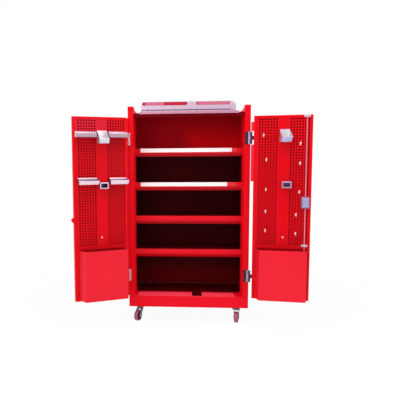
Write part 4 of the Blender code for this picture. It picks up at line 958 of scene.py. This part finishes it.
def rim_mesh(name, bm, seat, material):
    """Wire along the free edges of a pocket's sheet, apart from the one at its seat."""
    loose = bmesh.new()
    for edge in bm.edges:
        if edge.is_boundary and max(vert.co.y for vert in edge.verts) > seat + FOLD_ROUND:
            loose.edges.new([loose.verts.new(vert.co) for vert in edge.verts])
    bmesh.ops.remove_doubles(loose, verts=loose.verts[:], dist=MERGE_GAP)
    seed = mesh_of(name + "_rim_seed", loose)
    return grown(name + "_rim", ROLLED_RIM, {"Wire": RIM_WIRE, "Material": material}, seed)


def pocket_mesh(name, seat, reach, low, shape, material):
    """Open sheet pocket in door coordinates, with bent folds: its back is higher than its leaning front."""
    bm = bmesh.new()
    ends = []
    for back, front in zip(shape["back"], shape["front"]):
        corners = (
            (back, seat, low),
            ((front + back) / 2, seat + reach[0], low),
            (front, seat + reach[1], low + shape["heights"][0]),
            (back, seat, low + shape["heights"][1]),
        )
        ends.append([bm.verts.new(corner) for corner in corners])
        bm.faces.new(ends[-1])
    for j in (0, 1, 3):
        k = (j + 1) % 4
        bm.faces.new((ends[0][j], ends[0][k], ends[1][k], ends[1][j]))
    bmesh.ops.recalc_face_normals(bm, faces=bm.faces[:])
    folds = [edge for edge in bm.edges if not edge.is_boundary]
    bmesh.ops.bevel(bm, geom=folds, offset=FOLD_ROUND, segments=FOLD_STEPS, profile=0.5, affect="EDGES")
    rim = rim_mesh(name, bm, seat, material)
    bmesh.ops.solidify(bm, geom=bm.faces[:], thickness=HOLDER_SHEET)
    bmesh.ops.recalc_face_normals(bm, faces=bm.faces[:])
    for face in bm.faces:
        face.smooth = True
    bm.from_mesh(rim)
    mesh = mesh_of(name, bm, material)
    mesh.set_sharp_from_angle(angle=math.radians(SHARP_TURN))
    return mesh


for holder, shape in POCKETS.items():
    side = "right" if holder.startswith("right") else "left"
    seat, reach = (SLANT_SEAT, SLANT_REACH) if "slant" in holder else (TRAY_SEAT, TRAY_REACH)
    tones = POCKET_LIT_SHADED_TONES[holder.rsplit("_", 1)[0]]
    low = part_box(holder)[0].z
    inside_v = (0.0, seat + reach[0] - INSIDE_SHORT)
    inside_z = (low + INSIDE_LIFT, low + shape["heights"][1] - BRIGHT_RIM)
    inside = door_zone(INSIDE_U, inside_v, inside_z, CRISP, tones["inside"])
    zinc = zinc_plated(
        holder + "_zinc", tones["pale"], tones["grey"], POCKET_METAL, zones=(inside,), place=door_pin(side)
    )
    pocket = pocket_mesh(holder + "_folded", seat, reach, low, shape, zinc)
    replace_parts(hang(pocket, side), holder)
for side in SIDES:
    holder = side + "_square_holder"
    mouth = door_zone(
        shifted(MOUTH_U, SQUARE_MIDDLE[side]),
        shifted(MOUTH_V, PANEL_FACE),
        shifted(MOUTH_Z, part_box(holder)[0].z),
        MOUTH_FADE,
        MOUTH_SHADE[side],
    )
    zinc = zinc_plated(
        side + "_square_zinc", SQUARE_LIT_SHADED_PALE[side], SQUARE_LIT_SHADED_GREY[side], zones=(mouth,), place=door_pin(side)
    )
    dress(holder, zinc, THIN_EDGE)


# Hooks
# Bent zinc wire for hanging tools, held by small back plates that are pushed into the holes of the right
# panel. The wire carries a painted highlight where it stands out, and the plates a painted reflection of
# the red sheet.
HOOKS = (
    (0.076, 1.565),
    (0.100, 1.372),
    (0.100, 1.136),
    (0.100, 0.961),
    (0.100, 0.806),
    (0.356, 1.497),
    (0.356, 1.343),
    (0.356, 1.117),
    (0.334, 0.937),
    (0.334, 0.786),
)
# Painted highlight on the wire, and a painted reflection of the red sheet on the plates.
HOOK_WIRE_HIGHLIGHT = (0.92, 0.74, 0.70)
HOOK_PLATE_REFLECTION = (0.60, 0.28, 0.31)
HOOK_PLATE_REFLECTION_DEEP = (0.50, 0.22, 0.25)
HOOK_METAL = 0.5
HOOK_SIZES = {"Wire": 0.0025, "Reach": 0.045, "Dip": 0.014, "Tip": 0.016, "Plate": (0.011, 0.0015, 0.022)}
HOOK_STEPS = 14
BRIGHT_WIRE_V = (0.0353, 0.2)
BRIGHT_WIRE_FADE = 0.001
ON_PANEL = PANEL_FACE + 0.0001


def wire_hook_tree():
    """Hooks on points: a wire that dips and turns up at its tip, on a back plate."""
    b = TreeBuilder("wire_hooks", Float=("Wire", "Reach", "Dip", "Tip"), Vector=("Plate",))
    given = b.given
    bend = b.point(0.0, given["Reach"], b.math("MULTIPLY", given["Dip"], -1.0))
    tip = b.point(0.0, given["Reach"], given["Tip"])
    bent = {"Start": (0.0, 0.0, 0.0), "Start Handle": bend, "End Handle": bend, "End": tip}
    path = b.add("GeometryNodeCurvePrimitiveBezierSegment", HOOK_STEPS, named=bent)
    plate = b.add("GeometryNodeMeshCube", given["Plate"])
    half = b.math("MULTIPLY", b.node("ShaderNodeSeparateXYZ", given["Plate"]).outputs["Y"], 0.5)
    seated = b.add("GeometryNodeTransform", plate, named={"Translation": b.point(0.0, half, 0.0)})
    hook = b.join(b.wire(path, given["Wire"]), seated)
    copies = {"Points": given["Geometry"], "Instance": hook}
    return b.end(b.add("GeometryNodeInstanceOnPoints", named=copies))


def point_mesh(name, points):
    mesh = bpy.data.meshes.new(name)
    mesh.from_pydata(points, [], [])
    return mesh


wire_highlight = door_zone(DOOR_U, BRIGHT_WIRE_V, ALL_HEIGHTS, BRIGHT_WIRE_FADE, HOOK_WIRE_HIGHLIGHT)
HOOK_PAINTED_LIGHT = zinc_plated(
    "hook_zinc_painted_light", HOOK_PLATE_REFLECTION, HOOK_PLATE_REFLECTION_DEEP, HOOK_METAL, zones=(wire_highlight,), place=door_pin("right")
)
hook_points = point_mesh("hook_points", [(u, ON_PANEL, z) for u, z in HOOKS])
hooks = grown("tool_hooks", wire_hook_tree(), {**HOOK_SIZES, "Material": HOOK_PAINTED_LIGHT}, hook_points)
hang(hooks, "right")


# Rod lock
# A pressed cover on the inner flange hides the cam, two flat rods slide in staples, and a cast lever works
# them. The rods carry a painted highlight along their crowns and a painted reflection of the red doors at
# their edges.
LOCK_PALE = (0.34, 0.34, 0.58)
LOCK_SHADE = (0.28, 0.28, 0.50)
LOCK_METAL = 0.35
# Painted reflection of the red doors at the rods' edges, and a painted highlight along their crowns.
ROD_EDGE_REFLECTION = (0.46, 0.0040, 0.0120)
ROD_EDGE_REFLECTION_DEEP = (0.42, 0.0035, 0.0100)
ROD_METAL = 0.2
ROD_CROWN_HIGHLIGHT = (0.82, 0.190, 0.235)
CROWN_U = (-0.0020, 0.0020)
CROWN_V = (0.0, 0.2)
ROD_MIDDLE = 0.404
WORN_EDGE = 0.0004

LOCK_STEEL = zinc_plated("lock_steel", LOCK_PALE, LOCK_SHADE, LOCK_METAL)
crown_highlight = door_zone(shifted(CROWN_U, ROD_MIDDLE), CROWN_V, ALL_HEIGHTS, CRISP, ROD_CROWN_HIGHLIGHT)
ROD_PAINTED_LIGHT = zinc_plated(
    "rod_painted_light", ROD_EDGE_REFLECTION, ROD_EDGE_REFLECTION_DEEP, ROD_METAL, zones=(crown_highlight,), place=door_pin("right")
)
for lock_piece in ("lock_case", "lock_cam", "lock_lever"):
    dress(lock_piece, LOCK_STEEL, THIN_EDGE)
for rod_piece in ("upper_lock_rod", "lower_lock_rod"):
    dress(rod_piece, ROD_PAINTED_LIGHT, WORN_EDGE)
for guide in ("rod_guide_upper", "rod_guide_lower"):
    dress(guide, BRIGHT_ZINC, THIN_EDGE)


# Casters
# Pressed steel forks swivel under the plates on ball races, and steel axles carry the wheels. Each wheel has
# a mauve rubber tread on a maroon moulded core.
TREAD_MAUVE = (0.34, 0.095, 0.150)
TREAD_DEEP = (0.28, 0.075, 0.120)
CORE_MAROON = (0.09, 0.004, 0.022)
CORE_DEEP = (0.06, 0.003, 0.015)
RUBBER_GLOSS = (0.45, 0.70)
RUBBER_SHINE = 0.3
RUBBER_PEEL = (900.0, 0.0002)
FORK_PALE = (0.20, 0.15, 0.18)
FORK_DARK = (0.08, 0.055, 0.07)
FORK_METAL = 0.8
WHEEL_STEPS = 64
CORE_PROFILE = (
    (0.0053, 0.0180),
    (0.0150, 0.0180),
    (0.0170, 0.0165),
    (0.0172, 0.0065),
    (0.0200, 0.0058),
    (0.0320, 0.0060),
    (0.0340, 0.0075),
    (0.0345, 0.0150),
)
TREAD_PROFILE = (
    (0.0360, 0.0160),
    (0.0396, 0.0160),
    (0.0435, 0.0150),
    (0.0455, 0.0120),
    (0.0464, 0.0060),
)

TREAD = powder_coat("wheel_tread", TREAD_MAUVE, TREAD_DEEP, RUBBER_GLOSS, RUBBER_SHINE, peel=RUBBER_PEEL)
CORE = powder_coat("wheel_core", CORE_MAROON, CORE_DEEP, RUBBER_GLOSS, RUBBER_SHINE, peel=RUBBER_PEEL)
FORK_STEEL = zinc_plated("fork_steel", FORK_PALE, FORK_DARK, FORK_METAL)


def turned_wheel(name, matrix):
    """Wheel of revolution about its own X, with tread and core in their own materials."""
    profile = CORE_PROFILE + TREAD_PROFILE
    ring = list(profile) + [(r, -x) for r, x in reversed(profile)]
    count = len(ring)
    bm = bmesh.new()
    rows = []
    for i in range(WHEEL_STEPS):
        turn = 2 * math.pi * i / WHEEL_STEPS
        rows.append([bm.verts.new((x, r * math.cos(turn), r * math.sin(turn))) for r, x in ring])
    for i in range(WHEEL_STEPS):
        here = rows[i]
        there = rows[(i + 1) % WHEEL_STEPS]
        for j in range(count):
            k = (j + 1) % count
            face = bm.faces.new((here[j], here[k], there[k], there[j]))
            face.material_index = int(min(ring[j][0], ring[k][0]) < TREAD_PROFILE[0][0])
            face.smooth = True
    bmesh.ops.recalc_face_normals(bm, faces=bm.faces[:])
    mesh = mesh_of(name, bm, TREAD, CORE)
    mesh.set_sharp_from_angle(angle=math.radians(SHARP_TURN))
    mesh.transform(matrix)
    return mesh


joint_of = {joint["child"]: joint for joint in frame["joints"]}
for corner in ("front_left", "front_right", "rear_left", "rear_right"):
    axle = joint_of["wheel_" + corner]
    heading = math.atan2(axle["axis"][1], axle["axis"][0])
    place = Matrix.Translation(axle["pos_m"]) @ Matrix.Rotation(heading, 4, "Z")
    wheel = turned_wheel("wheel_" + corner + "_turned", place)
    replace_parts(add_mesh(wheel, "wheel_" + corner), "caster_wheel_" + corner)
    dress("caster_fork_" + corner, FORK_STEEL)
    dress("caster_axle_" + corner, BRIGHT_ZINC, THIN_EDGE)


# Fasteners
# Slotted zinc screws hold the hinges, trays, guides, lock case and gallery, blind rivets close the rear
# flanges, and hexagon bolts back the welds of the caster plates. One stud stands on each door's plain band.
SCREW = {"Sides": 16, "Radius": 0.0040, "Height": 0.0016, "Slot": 0.0010}
STUD = {"Sides": 20, "Radius": 0.0065, "Height": 0.0030, "Slot": 0.0014}
RIVET = {"Sides": 14, "Radius": 0.0032, "Height": 0.0010, "Slot": 0.0}
BOLT = {"Sides": 6, "Radius": 0.0062, "Height": 0.0040, "Slot": 0.0}
HEAD_TAPER = 0.72
BLADE_LENGTH = 3.0
BLADE_DEPTH = 1.1
LEAST_SLOT = 0.0001
SLOT_SEED = 7
FORWARD = (0.0, -1.0, 0.0)
REARWARD = (0.0, 1.0, 0.0)
UPWARD = (0.0, 0.0, 1.0)
DOWNWARD = (0.0, 0.0, -1.0)
HINGE_SCREWS = (0.0165, 0.0835)
LEAF_MIDDLE = 0.4655
LEAF_FACE = 0.0026
PAD_SCREWS = (0.012, 0.034)
PAD_FACE = -0.0065
FOOT_SCREWS = 7
FOOT_SCREW_START = -0.36
FOOT_SCREW_PITCH = 0.12
FOOT_SCREW_INSET = 0.009
FOOT_SHEET = 0.0015
RIVETS = 11
RIVET_X = 0.485
RIVET_END = 0.06
CASTER_INSET = (0.085, 0.075)
BOLT_SPACING = 0.030
TRAY_SCREW_INSET = 0.030
TRAY_SCREW_DROP = 0.008
LOCK_FACE = 0.0613
LOCK_SCREW_U = 0.013
LOCK_SCREW_Z = 0.027
GUIDE_FACE = {"rod_guide_upper": 0.0368, "rod_guide_lower": 0.0350}
GUIDE_SCREW_U = 0.0165
STUDS = {"left": (0.220, 0.754), "right": (0.238, 0.753)}
STUD_PALE = (0.90, 0.78, 0.76)
STUD_GREY = (0.84, 0.70, 0.68)
STUD_METAL = 0.4


def screw_head_tree():
    """Low heads on points, each standing out along its point's direction and turned about it at random."""
    b = TreeBuilder("screw_heads", Int=("Sides",), Float=("Radius", "Height", "Slot"))
    given = b.given
    cone = {
        "Vertices": given["Sides"],
        "Radius Top": b.math("MULTIPLY", given["Radius"], HEAD_TAPER),
        "Radius Bottom": given["Radius"],
        "Depth": given["Height"],
    }
    head = b.add("GeometryNodeMeshCone", named=cone)
    length = b.math("MULTIPLY", given["Radius"], BLADE_LENGTH)
    deep = b.math("MULTIPLY", given["Height"], BLADE_DEPTH)
    blade = b.add("GeometryNodeMeshCube", b.point(length, given["Slot"], deep))
    raised = b.add("GeometryNodeTransform", blade, named={"Translation": b.point(0.0, 0.0, given["Height"])})
    slotted = b.add("GeometryNodeMeshBoolean", head, raised, operation="DIFFERENCE")
    has_slot = b.math("GREATER_THAN", given["Slot"], LEAST_SLOT)
    either = b.add("GeometryNodeSwitch", has_slot, head, slotted, input_type="GEOMETRY")
    out = b.node("GeometryNodeInputNamedAttribute", "out", data_type="FLOAT_VECTOR").outputs["Attribute"]
    stand = b.add("FunctionNodeAlignRotationToVector", named={"Vector": out}, axis="Z")
    spin = b.node("FunctionNodeRandomValue", named={"Seed": SLOT_SEED}, data_type="FLOAT")
    put(b.tree, spin.inputs[2], 0.0)
    put(b.tree, spin.inputs[3], math.pi)
    about = b.add("FunctionNodeEulerToRotation", b.point(0.0, 0.0, spin.outputs[1]))
    turned = b.add("FunctionNodeRotateRotation", stand, about, rotation_space="LOCAL")
    copies = {"Points": given["Geometry"], "Instance": either, "Rotation": turned}
    return b.end(b.add("GeometryNodeInstanceOnPoints", named=copies))


SCREW_HEADS = screw_head_tree()
STUD_ZINC = zinc_plated("stud_zinc", STUD_PALE, STUD_GREY, STUD_METAL)


def fastened(name, kind, places, material=BRIGHT_ZINC):
    """Heads at places, each a point and the way that it stands out."""
    points = point_mesh(name + "_points", [point for point, _ in places])
    ways = points.attributes.new("out", "FLOAT_VECTOR", "POINT")
    for i, (_, way) in enumerate(places):
        ways.data[i].vector = way
    return grown(name, SCREW_HEADS, {**kind, "Material": material}, points)


# The right post screws take the webs' dark painted shade.
for side, out, finish in (("left", -1, CARCASS_RED), ("right", 1, WEB_SHADE_STEEL)):
    post_screws = []
    for height in HEIGHTS:
        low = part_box(side + "_hinge_post_leaf_" + height)[0].z
        for rise in HINGE_SCREWS:
            place = (cabinet_middle + out * LEAF_MIDDLE, front_plane - LEAF_FACE, low + rise)
            post_screws.append((place, FORWARD))
    add_mesh(fastened(side + "_post_screws", SCREW, post_screws, finish), "cabinet")

foot_screws = []
for i in range(FOOT_SCREWS):
    x = cabinet_middle + FOOT_SCREW_START + FOOT_SCREW_PITCH * i
    foot_screws.append(((x, gallery_high.y - FOOT_SCREW_INSET, gallery_low.z + FOOT_SHEET), UPWARD))
add_mesh(fastened("gallery_screws", SCREW, foot_screws), "cabinet")

rivets = []
wall_low, wall_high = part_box("left_side_panel")
first_rivet, last_rivet = inset((wall_low.z, wall_high.z), RIVET_END)
for x in (cabinet_middle - RIVET_X, cabinet_middle + RIVET_X):
    for i in range(RIVETS):
        z = first_rivet + (last_rivet - first_rivet) * i / (RIVETS - 1)
        rivets.append(((x, rear_plane, z), REARWARD))
add_mesh(fastened("rear_rivets", RIVET, rivets, CARCASS_RED), "cabinet")

bolts = []
for x in inset((base_low.x, base_high.x), CASTER_INSET[0]):
    for y in inset((front_plane, rear_plane), CASTER_INSET[1]):
        for dx in (-BOLT_SPACING, BOLT_SPACING):
            for dy in (-BOLT_SPACING, BOLT_SPACING):
                bolts.append(((x + dx, y + dy, base_low.z), DOWNWARD))
add_mesh(fastened("caster_bolts", BOLT, bolts), "cabinet")

for side in SIDES:
    held = []
    for height in HEIGHTS:
        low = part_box(side + "_hinge_door_leaf_" + height)[0].z
        held += [((u, PAD_FACE, low + rise), FORWARD) for u in PAD_SCREWS for rise in HINGE_SCREWS]
    if side == "left":
        for holder, shape in POCKETS.items():
            if holder.startswith("tray_"):
                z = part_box(holder)[0].z + shape["heights"][1] - TRAY_SCREW_DROP
                ends = inset(shape["back"], TRAY_SCREW_INSET)
                held += [((u, TRAY_SEAT + HOLDER_SHEET, z), REARWARD) for u in ends]
    else:
        case_low, case_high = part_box("lock_case")
        case_z = shifted((-LOCK_SCREW_Z, LOCK_SCREW_Z), (case_low.z + case_high.z) / 2)
        for u in shifted((-LOCK_SCREW_U, LOCK_SCREW_U), ROD_MIDDLE):
            held += [((u, LOCK_FACE, z), REARWARD) for z in case_z]
        for guide, face in GUIDE_FACE.items():
            guide_low, guide_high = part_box(guide)
            z = (guide_low.z + guide_high.z) / 2
            ends = shifted((-GUIDE_SCREW_U, GUIDE_SCREW_U), ROD_MIDDLE)
            held += [((u, face, z), REARWARD) for u in ends]
    hang(fastened(side + "_door_screws", SCREW, held), side)
    u, z = STUDS[side]
    stud = fastened(side + "_band_stud", STUD, [((u, ON_PANEL, z), REARWARD)], STUD_ZINC)
    hang(stud, side)


# Studio
# A white floor that fades into a white surround, so the cabinet stands free with only a light shadow.
# A broad soft light hangs overhead, and weaker ones stand in front and at both sides.
FLOOR_SIZE = 30.0
FLOOR_DROP = 0.0005
FLOOR_FADE = (1.6, 3.4)
FLOOR_GLOW = 0.95
FLOOR_WHITE = (0.96, 0.96, 0.96)
FLOOR_ROUGHNESS = 0.9
FLOOR_SHINE = 0.1
SURROUND_WHITE = (1.0, 1.0, 1.0)
SURROUND_LIGHT = 0.55
LIGHTS = {
    "overhead": {"place": (0.0, -1.2, 4.2), "aim": (0.0, -0.2, 0.6), "size": (3.4, 2.4), "power": 106.0},
    "front_fill": {"place": (-2.7, -4.3, 2.2), "aim": (0.0, 0.0, 0.9), "size": (3.2, 3.2), "power": 57.0},
    "left_fill": {"place": (-3.6, -2.4, 1.2), "aim": (-0.7, -0.2, 0.7), "size": (1.6, 2.0), "power": 16.0},
    "right_fill": {"place": (3.2, -3.2, 1.8), "aim": (0.4, 0.0, 0.9), "size": (1.8, 2.4), "power": 34.0},
}


def seen_ray(tree):
    """One for a ray from the camera, a mirror or glass, and nought for light that falls on a surface."""
    rays = add(tree, "ShaderNodeLightPath").outputs
    mirrored = reckon(tree, "MAXIMUM", rays["Is Camera Ray"], rays["Is Glossy Ray"])
    return reckon(tree, "MAXIMUM", mirrored, rays["Is Transmission Ray"])


def floor_white():
    """White floor that keeps a light shadow and fades out far from the cabinet."""
    made, tree, shader = start_material("floor_white")
    put(tree, shader.inputs["Base Color"], FLOOR_WHITE)
    put(tree, shader.inputs["Roughness"], FLOOR_ROUGHNESS)
    put(tree, shader.inputs["Specular IOR Level"], FLOOR_SHINE)
    white = add(tree, "ShaderNodeEmission").outputs["Emission"]
    glow = spread(tree, seen_ray(tree), 0.0, FLOOR_GLOW, 0.0, 1.0)
    lit = add(tree, "ShaderNodeMixShader", glow, shader.outputs["BSDF"], white).outputs["Shader"]
    position = add(tree, "ShaderNodeTexCoord").outputs["Object"]
    reach = add(tree, "ShaderNodeVectorMath", position, operation="LENGTH").outputs["Value"]
    far = spread(tree, reach, 0.0, 1.0, *FLOOR_FADE)
    clear = add(tree, "ShaderNodeBsdfTransparent").outputs["BSDF"]
    faded = add(tree, "ShaderNodeMixShader", far, lit, clear).outputs["Shader"]
    put(tree, tree.nodes["Material Output"].inputs["Surface"], faded)
    return made


ground = bmesh.new()
bmesh.ops.create_grid(ground, x_segments=1, y_segments=1, size=FLOOR_SIZE / 2)
floor = bpy.data.objects.new("floor", mesh_of("floor", ground, floor_white()))
floor.location.z = -FLOOR_DROP
bpy.context.scene.collection.objects.link(floor)

world = bpy.data.worlds.new("surround")
bpy.context.scene.world = world
world.use_nodes = True
surround = world.node_tree
sky = surround.nodes["Background"].inputs
put(surround, sky["Color"], SURROUND_WHITE)
put(surround, sky["Strength"], spread(surround, seen_ray(surround), SURROUND_LIGHT, 1.0, 0.0, 1.0))

for name, light in LIGHTS.items():
    lamp = bpy.data.lights.new(name, "AREA")
    lamp.shape = "RECTANGLE"
    lamp.size, lamp.size_y = light["size"]
    lamp.energy = light["power"]
    made = bpy.data.objects.new(name, lamp)
    made.location = light["place"]
    aim = Vector(light["aim"]) - Vector(light["place"])
    made.rotation_euler = aim.to_track_quat("-Z", "Y").to_euler()
    bpy.context.scene.collection.objects.link(made)


# Camera
# It stands about four metres in front, a little above the middle of the cabinet and a little to its left.
# Its place, its turns and its focal length were fitted to the cabinet's corners.
FOCAL_PIXELS = 492.4
IMAGE_PIXELS = 400
CENTRE_PIXELS = (141.68, 211.42)
SENSOR_WIDTH = 36.0
CAMERA_PLACE = (-0.0445, -4.0838, 1.3636)
CAMERA_YAW = -4.82
CAMERA_PITCH = 5.75
CAMERA_ROLL = -0.38

lens = bpy.data.cameras.new("camera")
lens.sensor_width = SENSOR_WIDTH
lens.lens = FOCAL_PIXELS / IMAGE_PIXELS * SENSOR_WIDTH
lens.shift_x = (IMAGE_PIXELS / 2 - CENTRE_PIXELS[0]) / IMAGE_PIXELS
lens.shift_y = (CENTRE_PIXELS[1] - IMAGE_PIXELS / 2) / IMAGE_PIXELS
camera = bpy.data.objects.new("camera", lens)
bpy.context.scene.collection.objects.link(camera)
yaw = math.radians(CAMERA_YAW)
pitch = math.radians(CAMERA_PITCH)
roll = math.radians(CAMERA_ROLL)
forward = Vector((math.sin(yaw) * math.cos(pitch), math.cos(yaw) * math.cos(pitch), -math.sin(pitch)))
level_right = Vector((math.cos(yaw), -math.sin(yaw), 0.0))
level_up = level_right.cross(forward)
right = level_right * math.cos(roll) + level_up * math.sin(roll)
up = right.cross(forward)
turn = Matrix((right, up, -forward)).transposed().to_4x4()
stand = Vector((cabinet_middle + CAMERA_PLACE[0], front_plane + CAMERA_PLACE[1], CAMERA_PLACE[2]))
camera.matrix_world = Matrix.Translation(stand) @ turn
bpy.context.scene.camera = camera
bpy.context.scene.view_settings.view_transform = "Standard"
